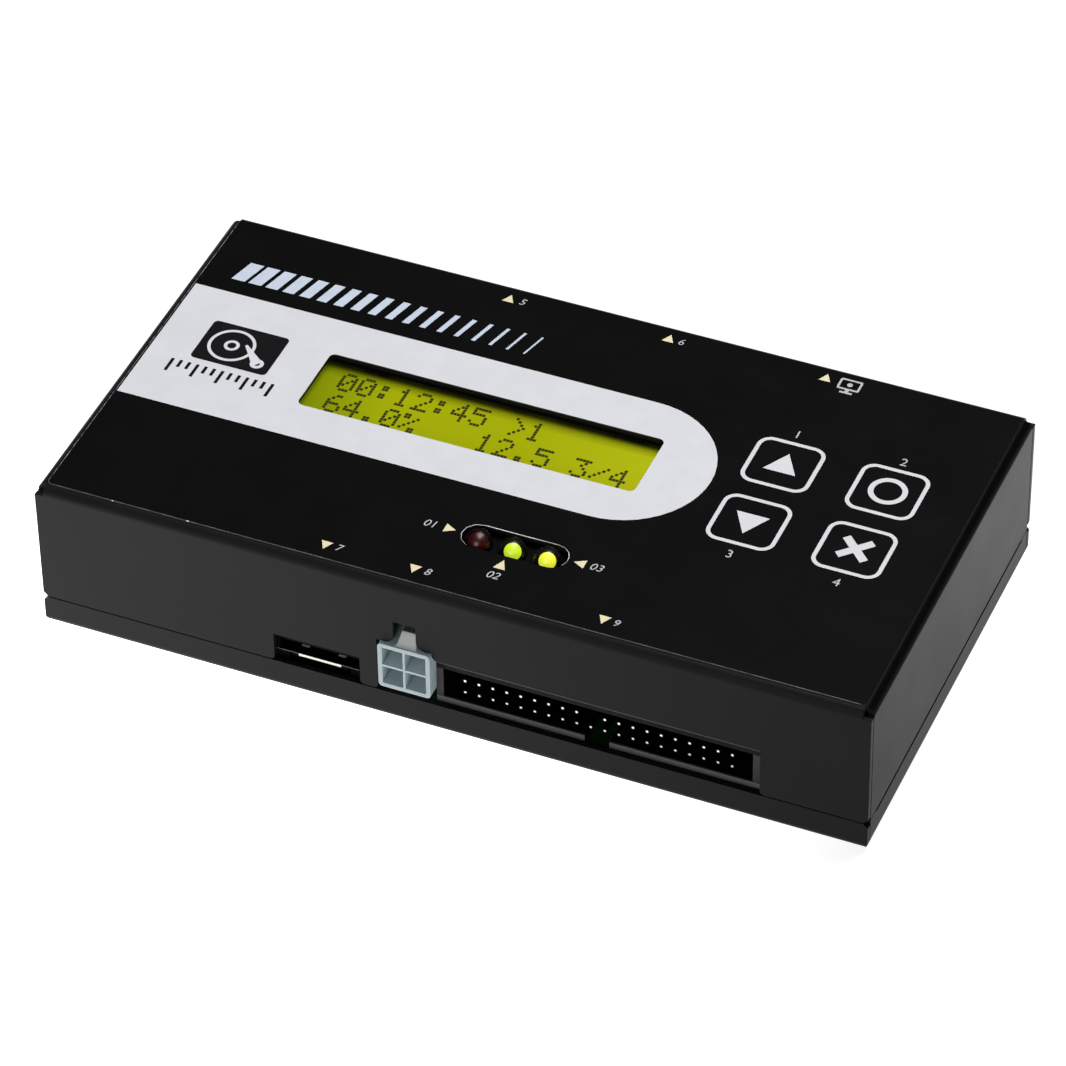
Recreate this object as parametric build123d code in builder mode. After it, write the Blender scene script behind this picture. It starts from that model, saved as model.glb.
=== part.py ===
from build123d import *
import os

# Hard drive erasing station: a folded sheet-steel case with a printed key panel,
# a two-line character display, drive connectors in front and power, computer
# and switch at the rear. Millimetres, +Z up, front at -Y, origin at the middle
# of the case's bottom face.

# Case
case_width = 151.5
case_depth = 81.0
case_height = 31.0
sheet = 1.0
bend = 1.6
cover_edge = 6.2
tray_rim = 5.95
tray_side_rim = 5.5
rim_ear = 4.0
corner_nick = 0.8
flange_slit = 0.3
overrun = 1.0
hair = 0.02
running_gap = 0.05
part_gap = 0.3
connector_reach = 0.7

# Printed overlay and what it leaves open
film = 0.25
film_inset_x = 1.65
film_inset_y = 1.55
film_corner = 0.8
window_y = 3.35
window_width = 62.7
window_depth = 14.7
window_corner = 1.1
cut_margin = 0.3
slot_width = 19.4
slot_depth = 6.0
slot_shift_x = 0.35
slot_shift_y = 0.2

# Keys
key_rear_y = 12.2
key_pitch_x = 18.9
key_pitch_y = 16.0
key_pad_size = 10.6
key_pad_corner = 1.5
key_slit = 0.1
key_travel = 0.3
key_stem_radius = 1.75
key_stem_seat = 1.6
tact_size = 6.0
tact_height = 3.4
tact_corner = 0.5
tact_leg = 0.6
tact_leg_pitch = 4.5

# Boards
board = 1.6
board_level = 3.6
board_margin = 0.3
board_corner = 2.0
panel_drop = 8.0
panel_end_share = 0.12
panel_key_margin_right = 12.3
panel_key_margin_left = 10.6
panel_key_margin_rear = 11.4
panel_lamp_margin_left = 14.7
panel_lamp_margin_front = 3.8
panel_fixing_inset = 3.8
panel_fixing_offset = 16.8
module_gap = 1.65
screw_hole_radius = 1.6
solder_tail = 1.2
tail_slack = 0.1

# Posts, spacers and screws
post_inset_x = 5.8
post_inset_y = 5.8
post_radius = 2.9
post_bore_depth = 8.0
spacer_radius = 2.5
screw_radius = 1.45
thread_bore_radius = 1.5
countersink_radius = 2.4
screw_grip = 6.0
pan_head_radius = 2.7
pan_head_height = 1.8
recess_width = 0.6
recess_length = 2.6
recess_depth = 0.6
small_post_radius = 2.4
small_screw_radius = 1.2
small_bore_radius = 1.25
small_hole_radius = 1.35
small_bore_depth = 5.0
small_screw_grip = 4.0
small_head_radius = 2.2
small_head_height = 1.5

# Display module
module_width = 80.0
module_depth = 36.0
module_corner = 1.0
module_hole_pitch_x = 75.0
module_hole_pitch_y = 31.0
view_width = 64.5
view_depth = 16.0
bezel_width = 71.2
bezel_depth = 25.2
bezel_sheet = 0.5
bezel_corner = 1.0
bezel_height = 7.4
bezel_tab = 3.0
bezel_tab_reach = 0.8
glass_drop = 2.35
glass = 1.75
glass_slack = 0.2
blob_radius = 7.5
blob_height = 1.4
blob_pitch = 34.0
blob_round_share = 0.9

# Lamps in the slot
lamp_offset = 17.75
lamp_y = -24.3
lamp_pitch = 6.3
lamp_radius = 2.5
lamp_flange_radius = 2.9
lamp_flange = 1.0
lamp_height = 8.6
lamp_stand = 1.9
lamp_lead = 0.5
lamp_lead_pitch = 2.54
holder_height = 4.6
holder_depth = 7.4
holder_edge = 0.5

# Stacking connectors between the boards
link_pitch = 2.54
link_pin = 0.64
link_strip = 2.5
link_gap = 3.95
link_engage_share = 0.65
display_link_count = 16
display_link_offset = 31.95
display_link_inset = 2.5
panel_link_count = 8
panel_link_offset = 1.4
panel_link_gap = 5.36
link_pin_stand = 1.0

# Forty-position drive header
ide_end_margin = 19.85
ide_width = 58.4
ide_height = 9.0
ide_depth = 9.0
ide_recess = 1.9
ide_cavity_width = 55.9
ide_cavity_height = 6.45
ide_cavity_depth = 6.5
ide_key_width = 4.5
ide_pitch = 2.54
ide_columns = 20
ide_blank_column = 9
ide_pin = 0.64
ide_tip_drop = 0.4
ide_row_level = 4.55
ide_tail_gap = 1.2

# Four-way drive power header
power_size = 9.6
power_level = 2.5
power_depth = 12.8
power_corner = 0.8
power_cell = 3.8
power_pitch = 4.2
power_cell_depth = 10.6
power_pin = 1.07
power_pin_drop = 3.6
power_foot = 1.6
power_foot_length = 7.0
latch_shift = 0.3
latch_width = 3.4
latch_crest_width = 2.9
latch_flare = 0.7
latch_foot = 0.9
latch_height = 2.0
latch_front = 0.3
latch_crest = 2.4
latch_length = 4.0

# Seven-way drive data plug
sata_gap = 3.55
sata_width = 16.4
sata_height = 5.6
sata_depth = 8.4
sata_recess = 1.15
sata_wall = 0.8
sata_floor = 0.5
sata_mouth_depth = 6.2
sata_shelf_level = 2.0
sata_shelf = 1.0
sata_shelf_width = 10.4
sata_rail_width = 1.7
sata_rail_drop = 0.15
sata_insert_width = 7.9
sata_insert_length = 1.2
sata_insert_rim = 0.25
sata_way_count = 7
sata_pitch = 1.27
sata_contact_width = 0.5
sata_contact = 0.2
sata_tab_pitch = 6.8
sata_tab_width = 1.4
sata_tab_length = 0.95
sata_tab_inset = 1.7
sata_tab_height = 0.12

# Openings in the front flange, with their room around the connectors
sata_slot_width = 16.0
sata_slot_headroom = 1.2
power_slot_side_room = 0.5
power_slot_step_room = 0.1
power_slot_headroom = 0.1
ide_slot_side_room = 0.7
ide_slot_headroom = 1.8
latch_slot_reach_left = 2.1
latch_slot_reach_right = 2.05
latch_slot_height = 4.9
latch_slot_round = 1.7
step_round = 1.0
flange_round = 0.8

# Computer socket at the rear
usb_end_margin = 31.25
usb_width = 12.0
usb_height = 10.9
usb_depth = 16.0
usb_sheet = 0.4
usb_corner = 0.8
usb_mouth_width = 8.45
usb_mouth_height = 7.78
usb_mouth_chamfer = 1.6
usb_mouth_depth = 9.4
usb_tongue_width = 5.6
usb_tongue_height = 3.2
usb_tongue_drop = 1.0
usb_contact_width = 1.0
usb_contact = 0.25
usb_contact_pitch = 2.5
usb_tail_pitch = 2.0
usb_leg_length = 2.0
usb_slot_margin = 0.35

# Power inlet at the rear
jack_spacing = 29.1
jack_width = 9.0
jack_height = 11.0
jack_depth = 14.4
jack_plate = 3.5
jack_axis_height = 6.5
jack_bore_radius = 3.15
jack_bore_depth = 9.5
jack_pin_radius = 1.0
jack_pin_drop = 0.8
jack_barrel_radius = 4.2
jack_blade_width = 2.4
jack_blade = 0.6
jack_hole_radius = 4.0

# Rocker switch at the rear
switch_spacing = 30.2
switch_width = 13.0
switch_depth = 10.0
switch_wall = 1.0
rocker_width = 9.4
rocker_half_height = 4.6
rocker_front = 2.9
rocker_skirt = 0.7
rocker_dip = 0.8
rocker_hub_radius = 2.2
rocker_gap = 0.3
rocker_pin_radius = 1.0
rocker_pin_length = 0.9
rocker_lean = 10.0
pivot_depth = 3.0
sweep_half_height = 5.4
switch_blade = 0.8
switch_blade_width = 2.0
switch_blade_pitch = 5.0

# Parts that only stand on the main board
chip_size = 20.0
chip_height = 1.4
chip_stand = 0.1
chip_lead_count = 16
chip_lead_pitch = 1.15
chip_lead_width = 0.4
chip_lead = 0.15
chip_lead_reach = 1.3
chip_place_shares = (-0.06, -0.04)
memory_width = 12.0
memory_length = 18.4
memory_height = 1.1
memory_chamfer = 0.3
memory_place_shares = ((0.14, 0.06), (-0.24, 0.02))
coil_size = 7.0
coil_height = 4.0
coil_chamfer = 1.4
coil_depth_shares = (0.38, 0.42)
capacitor_radius = 3.15
capacitor_height = 7.7
capacitor_base = 0.8
capacitor_neck_level = 2.0
capacitor_neck = 0.35
capacitor_place_shares = ((0.23, 0.2), (0.36, 0.38), (0.36, 0.2))
crystal_length = 11.0
crystal_width = 4.6
crystal_height = 3.5
crystal_flange = 0.5
crystal_rim = 0.4
crystal_place_shares = (-0.2, -0.2)
sounder_radius = 6.0
sounder_height = 9.5
sounder_port_radius = 1.2
sounder_port_depth = 3.0
sounder_edge = 0.5
sounder_place_shares = (-0.37, -0.2)

# Levels and lines that follow from the sizes above
half_width = case_width / 2
half_depth = case_depth / 2
cover_face = case_height - film
cover_under = cover_face - sheet
inner_front = -half_depth + sheet
inner_rear = half_depth - sheet
board_top = board_level + board
board_half_width = half_width - sheet - board_margin
board_half_depth = half_depth - sheet - board_margin
tail_end = board_level - solder_tail
panel_top = cover_under - panel_drop
panel_under = panel_top - board
film_width = case_width - 2 * film_inset_x
film_depth = case_depth - 2 * film_inset_y

# The display and the panel board lie side by side and share the room that is left over
panel_row = (
    module_width + module_gap + panel_key_margin_left + key_pitch_x + panel_key_margin_right
)
panel_right = board_half_width - panel_end_share * (2 * board_half_width - panel_row)
key_left_x = panel_right - panel_key_margin_right - key_pitch_x
panel_step_x = key_left_x - panel_key_margin_left
window_x = panel_step_x - module_gap - module_width / 2
lamp_x = window_x + lamp_offset
slot_x = lamp_x + slot_shift_x
slot_y = lamp_y + slot_shift_y
panel_left = lamp_x - panel_lamp_margin_left
panel_front = lamp_y - panel_lamp_margin_front
panel_rear = key_rear_y + panel_key_margin_rear
panel_step_y = window_y - module_depth / 2 - module_gap
panel_fixings = (
    (lamp_x + panel_fixing_offset, panel_front + panel_fixing_inset),
    (panel_right - panel_fixing_inset, panel_front + panel_fixing_inset),
    (panel_right - panel_fixing_inset, panel_rear - panel_fixing_inset),
    (panel_step_x + panel_fixing_inset, panel_rear - panel_fixing_inset),
)

# The connectors stand in two rows that start from the right-hand end of the case
ide_x = half_width - ide_end_margin - ide_width / 2
power_x = ide_x - ide_width / 2 - power_size / 2
sata_x = power_x - power_size / 2 - sata_gap - sata_width / 2
usb_x = half_width - usb_end_margin - usb_width / 2
jack_x = usb_x - jack_spacing
switch_x = jack_x - switch_spacing
sata_slot_top = board_top + sata_height + sata_slot_headroom
header_slot_left = power_x - power_size / 2 - power_slot_side_room
header_slot_step = power_x + power_size / 2 + power_slot_step_room
header_slot_right = ide_x + ide_width / 2 + ide_slot_side_room
header_slot_top = board_top + ide_height + ide_slot_headroom
power_slot_top = board_top + power_level + power_size + power_slot_headroom
latch_slot_left = power_x - latch_slot_reach_left
latch_slot_right = power_x + latch_slot_reach_right
latch_slot_top = power_slot_top + latch_slot_height

# The stacking connectors follow the height between the boards
link_socket_height = panel_under - link_strip - link_gap - board_top
link_engage = link_socket_height * link_engage_share
display_link_x = window_x - display_link_offset
panel_link_x = key_left_x + panel_link_offset
panel_link_y = -half_depth + ide_recess + ide_depth + ide_tail_gap + ide_pitch + panel_link_gap
glass_top = case_height - glass_drop
post_x = half_width - post_inset_x
post_y = half_depth - post_inset_y
post_places = [(x, y) for x in (-post_x, post_x) for y in (-post_y, post_y)]
side_places = [(-post_x, 0), (post_x, 0)]
module_places = [
    (window_x + x * module_hole_pitch_x / 2, window_y + y * module_hole_pitch_y / 2)
    for x in (-1, 1)
    for y in (-1, 1)
]
key_places = {
    "up": (key_left_x, key_rear_y),
    "down": (key_left_x, key_rear_y - key_pitch_y),
    "ok": (key_left_x + key_pitch_x, key_rear_y),
    "esc": (key_left_x + key_pitch_x, key_rear_y - key_pitch_y),
}
lamp_places = {
    "fault": (lamp_x - lamp_pitch, lamp_y),
    "working": (lamp_x, lamp_y),
    "powered": (lamp_x + lamp_pitch, lamp_y),
}

os.makedirs("parts", exist_ok=True)


def save(piece, name):
    """Name a finished piece and write it."""
    piece.part.label = name
    export_step(piece.part, f"parts/{name}.step")


def facing_front(y):
    """Upright plane at this depth, seen from the front: its own x and y are X and Z."""
    return Plane.XZ.offset(-y)


def upright(x, y, z):
    """Upright plane through the axis of a round piece: its own x and y are X and Z."""
    return Plane(origin=(x, y, z), x_dir=(1, 0, 0), z_dir=(0, -1, 0))


def block(x, y, z, mode=Mode.ADD):
    """Square-edged block between a low and a high value on each axis."""
    with BuildSketch(Plane.XY.offset(z[0])) as base:
        with Locations(((x[0] + x[1]) / 2, (y[0] + y[1]) / 2)):
            Rectangle(x[1] - x[0], y[1] - y[0])
    extrude(base.sketch, amount=z[1] - z[0], mode=mode)


def rods(places, radius, low, high, mode=Mode.ADD):
    """Upright round rods, or holes, at each place."""
    with BuildSketch(Plane.XY.offset(low)) as rings:
        with Locations(*places):
            Circle(radius)
    extrude(rings.sketch, amount=high - low, mode=mode)


def square_rods(places, size, low, high, mode=Mode.ADD):
    """Upright square rods, or holes, at each place."""
    with BuildSketch(Plane.XY.offset(low)) as squares:
        with Locations(*places):
            Rectangle(size, size)
    extrude(squares.sketch, amount=high - low, mode=mode)


def fold_section(plane, span, edge, face):
    """Section of a sheet whose two ends are folded from its outer face to an edge level."""
    half = span / 2 - sheet / 2
    middle = face - sheet / 2 if face > edge else face + sheet / 2
    with BuildSketch(plane) as section:
        with BuildLine():
            FilletPolyline(
                (-half, edge), (-half, middle), (half, middle), (half, edge), radius=bend - sheet / 2
            )
        trace(line_width=sheet)
    return section.sketch


def folded_box(edge, face):
    """Sheet folded along all four sides, with the corners relieved at the bends."""
    across = fold_section(Plane.YZ.offset(bend - half_width), case_depth, edge, face)
    extrude(across, amount=case_width - 2 * bend)
    along = fold_section(facing_front(half_depth - bend), case_width, edge, face)
    extrude(along, amount=case_depth - 2 * bend)


def closed_corners(edge, face):
    """Ends of the front and rear folds, carried to the full width and rounded at the sides."""
    with BuildPart() as corners:
        across = fold_section(Plane.YZ.offset(-half_width), case_depth, edge, face)
        extrude(across, amount=case_width)
        with BuildSketch(facing_front(half_depth)) as outline:
            with Locations((0, edge / 2)):
                Rectangle(case_width, edge)
            fillet(outline.vertices().group_by(Axis.Y)[0], radius=bend)
        extrude(outline.sketch, amount=case_depth, mode=Mode.INTERSECT)
        inner_x, inner_y = half_width - bend, half_depth - bend
        outer_x, outer_y = half_width + overrun, half_depth + overrun
        levels = (-overrun, edge + overrun)
        block((-inner_x, inner_x), (-outer_y, outer_y), levels, Mode.SUBTRACT)
        block((-outer_x, outer_x), (-inner_y, inner_y), levels, Mode.SUBTRACT)
        block((-outer_x, outer_x), (-outer_y, outer_y), (bend, edge + overrun), Mode.SUBTRACT)
    add(corners.part)


def wide_flange(y, low, high, nicked):
    """Flange that runs the full width, with nicks at its free corners."""
    with BuildSketch(facing_front(y)) as face:
        with Locations((0, (low + high) / 2)):
            Rectangle(case_width, high - low)
        chamfer(face.vertices().group_by(Axis.Y)[nicked], length=corner_nick)
    extrude(face.sketch, amount=sheet)


def side_flange(side, low, high):
    """Flange between the two wide ones, with a slit at each end."""
    reach = half_depth - sheet - flange_slit
    outer, inner = side * half_width, side * (half_width - sheet)
    block(sorted((outer, inner)), (-reach, reach), (low, high))


def near(sketch, x, z):
    """The corner of a sketch that lies nearest to a point."""
    return sketch.vertices().sort_by_distance((x, z))[0]


def bent_pin(x, tip, level, turn, foot, wide, thick, mode=Mode.ADD):
    """Flat wire that runs from its tip to a bend and turns down to its foot."""
    with BuildSketch(Plane.YZ.offset(x - wide / 2)) as wire:
        with BuildLine():
            FilletPolyline((tip, level), (turn, level), (turn, foot), radius=thick)
        trace(line_width=thick)
    extrude(wire.sketch, amount=wide, mode=mode)


def cross_recess(places, top, direction):
    """Crossed driver slots in a screw head, cut from its face into the head."""
    low, high = sorted((top, top - direction * recess_depth))
    for x, y in places:
        for long_x, long_y in ((recess_length, recess_width), (recess_width, recess_length)):
            block(
                (x - long_x / 2, x + long_x / 2),
                (y - long_y / 2, y + long_y / 2),
                (low, high),
                Mode.SUBTRACT,
            )


def on_board(shares):
    """A place on the main board, from shares of its width and depth."""
    return (shares[0] * 2 * board_half_width, shares[1] * 2 * board_half_depth)


# Top cover
flange_top = cover_face - bend
usb_slot_half = usb_width / 2 + usb_slot_margin
usb_slot_top = board_top + usb_height + usb_slot_margin
rocker_level = board_top + switch_wall + sweep_half_height
rocker_slot_half = rocker_width / 2 + rocker_gap
rocker_slot_top = rocker_level + sweep_half_height
jack_level = board_top + jack_axis_height

with BuildPart() as top_cover:
    folded_box(cover_edge, cover_face)
    wide_flange(inner_front, cover_edge, flange_top, 0)
    wide_flange(half_depth, cover_edge, flange_top, 0)
    for side in (-1, 1):
        side_flange(side, cover_edge, flange_top)

    with BuildSketch(Plane.XY.offset(cover_under - overrun)) as top_cuts:
        with Locations((window_x, window_y)):
            RectangleRounded(
                window_width + 2 * cut_margin, window_depth + 2 * cut_margin, window_corner + cut_margin
            )
        with Locations((slot_x, slot_y)):
            SlotOverall(slot_width + 2 * cut_margin, slot_depth + 2 * cut_margin)
        with Locations(*key_places.values()):
            hole_size = key_pad_size + 4 * key_slit
            RectangleRounded(hole_size, hole_size, key_pad_corner + 2 * key_slit)
    extrude(top_cuts.sketch, amount=sheet + 2 * overrun, mode=Mode.SUBTRACT)

    below = cover_edge - overrun
    with BuildSketch(facing_front(inner_front + overrun)) as front_cuts:
        with BuildLine():
            Polyline(
                (-half_width + bend, below),
                (-half_width + bend, cover_edge),
                (sata_x - sata_slot_width / 2, cover_edge),
                (sata_x - sata_slot_width / 2, sata_slot_top),
                (sata_x + sata_slot_width / 2, sata_slot_top),
                (sata_x + sata_slot_width / 2, cover_edge),
                (header_slot_left, cover_edge),
                (header_slot_left, power_slot_top),
                (latch_slot_left, power_slot_top),
                (latch_slot_left, latch_slot_top),
                (latch_slot_right, latch_slot_top),
                (latch_slot_right, power_slot_top),
                (header_slot_step, power_slot_top),
                (header_slot_step, header_slot_top),
                (header_slot_right, header_slot_top),
                (header_slot_right, cover_edge),
                (half_width - bend, cover_edge),
                (half_width - bend, below),
                close=True,
            )
        make_face()
        for x, z, radius in (
            (sata_x - sata_slot_width / 2, cover_edge, flange_round),
            (sata_x + sata_slot_width / 2, cover_edge, flange_round),
            (header_slot_left, cover_edge, flange_round),
            (header_slot_right, cover_edge, flange_round),
            (latch_slot_left, power_slot_top, latch_slot_round),
            (latch_slot_right, power_slot_top, latch_slot_round),
            (header_slot_step, header_slot_top, step_round),
        ):
            fillet(near(front_cuts, x, z), radius=radius)
    extrude(front_cuts.sketch, amount=sheet + 2 * overrun, mode=Mode.SUBTRACT)

    with BuildSketch(facing_front(half_depth + overrun)) as rear_cuts:
        with Locations((usb_x, (below + usb_slot_top) / 2)):
            Rectangle(2 * usb_slot_half, usb_slot_top - below)
        with Locations((switch_x, (below + rocker_slot_top) / 2)):
            Rectangle(2 * rocker_slot_half, rocker_slot_top - below)
        with Locations((jack_x, jack_level)):
            Circle(jack_hole_radius)
    extrude(rear_cuts.sketch, amount=sheet + 2 * overrun, mode=Mode.SUBTRACT)
save(top_cover, "top_cover")

# Bottom tray
with BuildPart() as bottom_tray:
    folded_box(tray_rim, 0)
    closed_corners(tray_rim, 0)
    wide_flange(inner_front, bend, tray_rim, -1)
    wide_flange(half_depth, bend, tray_rim, -1)
    for side in (-1, 1):
        side_flange(side, bend, tray_rim)
        lowered = half_depth - rim_ear
        edge = sorted((side * (half_width + overrun), side * (half_width - sheet - overrun)))
        block(edge, (-lowered, lowered), (tray_side_rim, tray_rim + overrun), Mode.SUBTRACT)
    block(
        (usb_x - usb_slot_half, usb_x + usb_slot_half),
        (inner_rear - overrun, half_depth + overrun),
        (board_top - usb_slot_margin, tray_rim + overrun),
        Mode.SUBTRACT,
    )
    with Locations(*[Plane(origin=(x, y, 0), z_dir=(0, 0, -1)) for x, y in post_places]):
        CounterSinkHole(
            radius=screw_hole_radius, counter_sink_radius=countersink_radius, counter_sink_angle=90
        )
save(bottom_tray, "bottom_tray")

# Printed overlay, its clear window and its four flexing key pads
with BuildPart() as panel_overlay:
    with BuildSketch(Plane.XY.offset(cover_face)) as print_outline:
        RectangleRounded(film_width, film_depth, film_corner)
        with Locations((window_x, window_y)):
            RectangleRounded(window_width, window_depth, window_corner, mode=Mode.SUBTRACT)
        with Locations((slot_x, slot_y)):
            SlotOverall(slot_width, slot_depth, mode=Mode.SUBTRACT)
        with Locations(*key_places.values()):
            pad_hole = key_pad_size + 2 * key_slit
            RectangleRounded(pad_hole, pad_hole, key_pad_corner + key_slit, mode=Mode.SUBTRACT)
    extrude(amount=film)
save(panel_overlay, "panel_overlay")

with BuildPart() as display_window:
    with BuildSketch(Plane.XY.offset(cover_face)) as clear_area:
        with Locations((window_x, window_y)):
            RectangleRounded(window_width, window_depth, window_corner)
    extrude(amount=film)
save(display_window, "display_window")

for name, place in key_places.items():
    with BuildPart() as key_pad:
        with BuildSketch(Plane.XY.offset(cover_face)) as pad_outline:
            with Locations(place):
                RectangleRounded(key_pad_size, key_pad_size, key_pad_corner)
        extrude(amount=film)
    save(key_pad, f"key_{name}_pad")

# Key switches: a stem under each pad, sliding in a fixed body on the panel board
tact_top = panel_top + tact_height
stem_foot = tact_top - key_stem_seat
for name, place in key_places.items():
    with BuildPart() as key_stem:
        rods([place], key_stem_radius, stem_foot, cover_face)
    save(key_stem, f"key_{name}_stem")

leg_places = [
    (x + side_x * tact_size / 2, y + side_y * tact_leg_pitch / 2)
    for x, y in key_places.values()
    for side_x in (-1, 1)
    for side_y in (-1, 1)
]
with BuildPart() as key_switch_bodies:
    with BuildSketch(Plane.XY.offset(panel_top)) as tact_outline:
        with Locations(*key_places.values()):
            Rectangle(tact_size, tact_size)
        chamfer(tact_outline.vertices(), length=tact_corner)
    extrude(amount=tact_height)
    well_floor = stem_foot - key_travel - part_gap
    rods(key_places.values(), key_stem_radius + running_gap, well_floor, tact_top + overrun, Mode.SUBTRACT)
    square_rods(leg_places, tact_leg, panel_under - solder_tail, tact_top - key_stem_seat)
save(key_switch_bodies, "key_switch_bodies")

# Panel board, which carries the key switches and the three lamps
lead_places = [
    (x + side * lamp_lead_pitch / 2, y) for x, y in lamp_places.values() for side in (-1, 1)
]
panel_link_places = [(panel_link_x + i * link_pitch, panel_link_y) for i in range(panel_link_count)]
with BuildPart() as panel_board:
    with BuildSketch(Plane.XY.offset(panel_under)) as panel_outline:
        with BuildLine():
            Polyline(
                (panel_left, panel_front),
                (panel_right, panel_front),
                (panel_right, panel_rear),
                (panel_step_x, panel_rear),
                (panel_step_x, panel_step_y),
                (panel_left, panel_step_y),
                close=True,
            )
        make_face()
        fillet(panel_outline.vertices(), radius=board_corner / 2)
        with Locations(*panel_fixings):
            Circle(small_hole_radius, mode=Mode.SUBTRACT)
        with Locations(*leg_places):
            Rectangle(tact_leg + 2 * tail_slack, tact_leg + 2 * tail_slack, mode=Mode.SUBTRACT)
        with Locations(*lead_places):
            Rectangle(lamp_lead + 2 * tail_slack, lamp_lead + 2 * tail_slack, mode=Mode.SUBTRACT)
        with Locations(*panel_link_places):
            Rectangle(link_pin + 2 * hair, link_pin + 2 * hair, mode=Mode.SUBTRACT)
    extrude(amount=board)
save(panel_board, "panel_board")

# Lamps: moulded lenses with a collar, their leads and the black holder between them
lamp_foot = panel_top + lamp_stand
for name, (x, y) in lamp_places.items():
    with BuildPart() as lamp:
        with BuildSketch(upright(x, y, lamp_foot)) as half_lens:
            with BuildLine():
                shoulder = lamp_height - lamp_radius
                Polyline(
                    (0, lamp_height),
                    (0, 0),
                    (lamp_flange_radius, 0),
                    (lamp_flange_radius, lamp_flange),
                    (lamp_radius, lamp_flange),
                    (lamp_radius, shoulder),
                )
                RadiusArc((lamp_radius, shoulder), (0, lamp_height), -lamp_radius)
            make_face()
        revolve(axis=Axis((x, y, lamp_foot), (0, 0, 1)))
    save(lamp, f"lamp_{name}")

with BuildPart() as lamp_leads:
    square_rods(lead_places, lamp_lead, panel_under - solder_tail, lamp_foot)
save(lamp_leads, "lamp_leads")

with BuildPart() as lamp_holder:
    holder_foot = lamp_foot + lamp_flange
    with BuildSketch(Plane.XY.offset(holder_foot)) as holder_outline:
        with Locations((lamp_x, lamp_y)):
            SlotOverall(2 * lamp_pitch + holder_depth, holder_depth)
        with Locations(*lamp_places.values()):
            Circle(lamp_radius + running_gap, mode=Mode.SUBTRACT)
    extrude(amount=holder_height)
    chamfer(lamp_holder.edges().group_by(Axis.Z)[-1].filter_by(GeomType.LINE), length=holder_edge)
save(lamp_holder, "lamp_holder")

# Display module: board, light guide, glass and the folded bezel that clamps them
display_link_y = window_y + module_depth / 2 - display_link_inset
display_link_places = [
    (display_link_x + i * link_pitch, display_link_y) for i in range(display_link_count)
]
tab_places = [
    (window_x + x * bezel_width / 3, window_y + y * (bezel_depth - bezel_sheet) / 2)
    for x in (-1, 0, 1)
    for y in (-1, 1)
]
with BuildPart() as display_board:
    with BuildSketch(Plane.XY.offset(panel_under)) as module_outline:
        with Locations((window_x, window_y)):
            RectangleRounded(module_width, module_depth, module_corner)
        with Locations(*module_places):
            Circle(small_hole_radius, mode=Mode.SUBTRACT)
        with Locations(*tab_places):
            Rectangle(bezel_tab + 2 * tail_slack, bezel_sheet + 2 * tail_slack, mode=Mode.SUBTRACT)
        with Locations(*display_link_places):
            Rectangle(link_pin + 2 * hair, link_pin + 2 * hair, mode=Mode.SUBTRACT)
    extrude(amount=board)
save(display_board, "display_board")

with BuildPart() as display_bezel:
    with BuildSketch(Plane.XY.offset(panel_top)) as bezel_outline:
        with Locations((window_x, window_y)):
            RectangleRounded(bezel_width, bezel_depth, bezel_corner)
    extrude(amount=bezel_height)
    with BuildSketch(Plane.XY.offset(panel_top)) as bezel_inside:
        with Locations((window_x, window_y)):
            RectangleRounded(
                bezel_width - 2 * bezel_sheet, bezel_depth - 2 * bezel_sheet, bezel_corner - bezel_sheet
            )
    extrude(amount=glass_top - panel_top, mode=Mode.SUBTRACT)
    with BuildSketch(Plane.XY.offset(panel_top)) as view_area:
        with Locations((window_x, window_y)):
            Rectangle(view_width, view_depth)
    extrude(amount=bezel_height + overrun, mode=Mode.SUBTRACT)
    with BuildSketch(Plane.XY.offset(panel_under - bezel_tab_reach)) as tabs:
        with Locations(*tab_places):
            Rectangle(bezel_tab, bezel_sheet)
    extrude(amount=board + bezel_tab_reach)
save(display_bezel, "display_bezel")

inner_bezel_width = bezel_width - 2 * bezel_sheet - 2 * glass_slack
inner_bezel_depth = bezel_depth - 2 * bezel_sheet - 2 * glass_slack
with BuildPart() as display_glass:
    with BuildSketch(Plane.XY.offset(glass_top - glass)) as glass_outline:
        with Locations((window_x, window_y)):
            Rectangle(inner_bezel_width, inner_bezel_depth)
    extrude(amount=glass)
save(display_glass, "display_glass")

with BuildPart() as display_backlight:
    with BuildSketch(Plane.XY.offset(panel_top)) as guide_outline:
        with Locations((window_x, window_y)):
            Rectangle(inner_bezel_width, inner_bezel_depth)
        chamfer(guide_outline.vertices(), length=bezel_corner)
    extrude(amount=glass_top - glass - panel_top)
save(display_backlight, "display_backlight")

blob_places = [(window_x + side * blob_pitch / 2, window_y) for side in (-1, 1)]
with BuildPart() as display_driver_caps:
    rods(blob_places, blob_radius, panel_under - blob_height, panel_under)
    fillet(display_driver_caps.edges().group_by(Axis.Z)[0], radius=blob_height * blob_round_share)
save(display_driver_caps, "display_driver_caps")

# Stacking connectors that join both upper boards to the main board
link_rows = (display_link_places, panel_link_places)
strip_foot = panel_under - link_strip
pin_foot = board_top + link_socket_height - link_engage


def row_span(row):
    """Lowest and highest x, and lowest and highest y, of the strip around a row of pins."""
    half = link_pitch / 2
    return (row[0][0] - half, row[-1][0] + half), (row[0][1] - half, row[0][1] + half)


with BuildPart() as link_strips:
    for row in link_rows:
        block(*row_span(row), (strip_foot, panel_under))
        square_rods(row, link_pin + 2 * hair, strip_foot, panel_under, Mode.SUBTRACT)
save(link_strips, "link_strips")

with BuildPart() as link_pins:
    for row in link_rows:
        square_rods(row, link_pin, pin_foot, panel_top + link_pin_stand)
save(link_pins, "link_pins")

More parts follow.
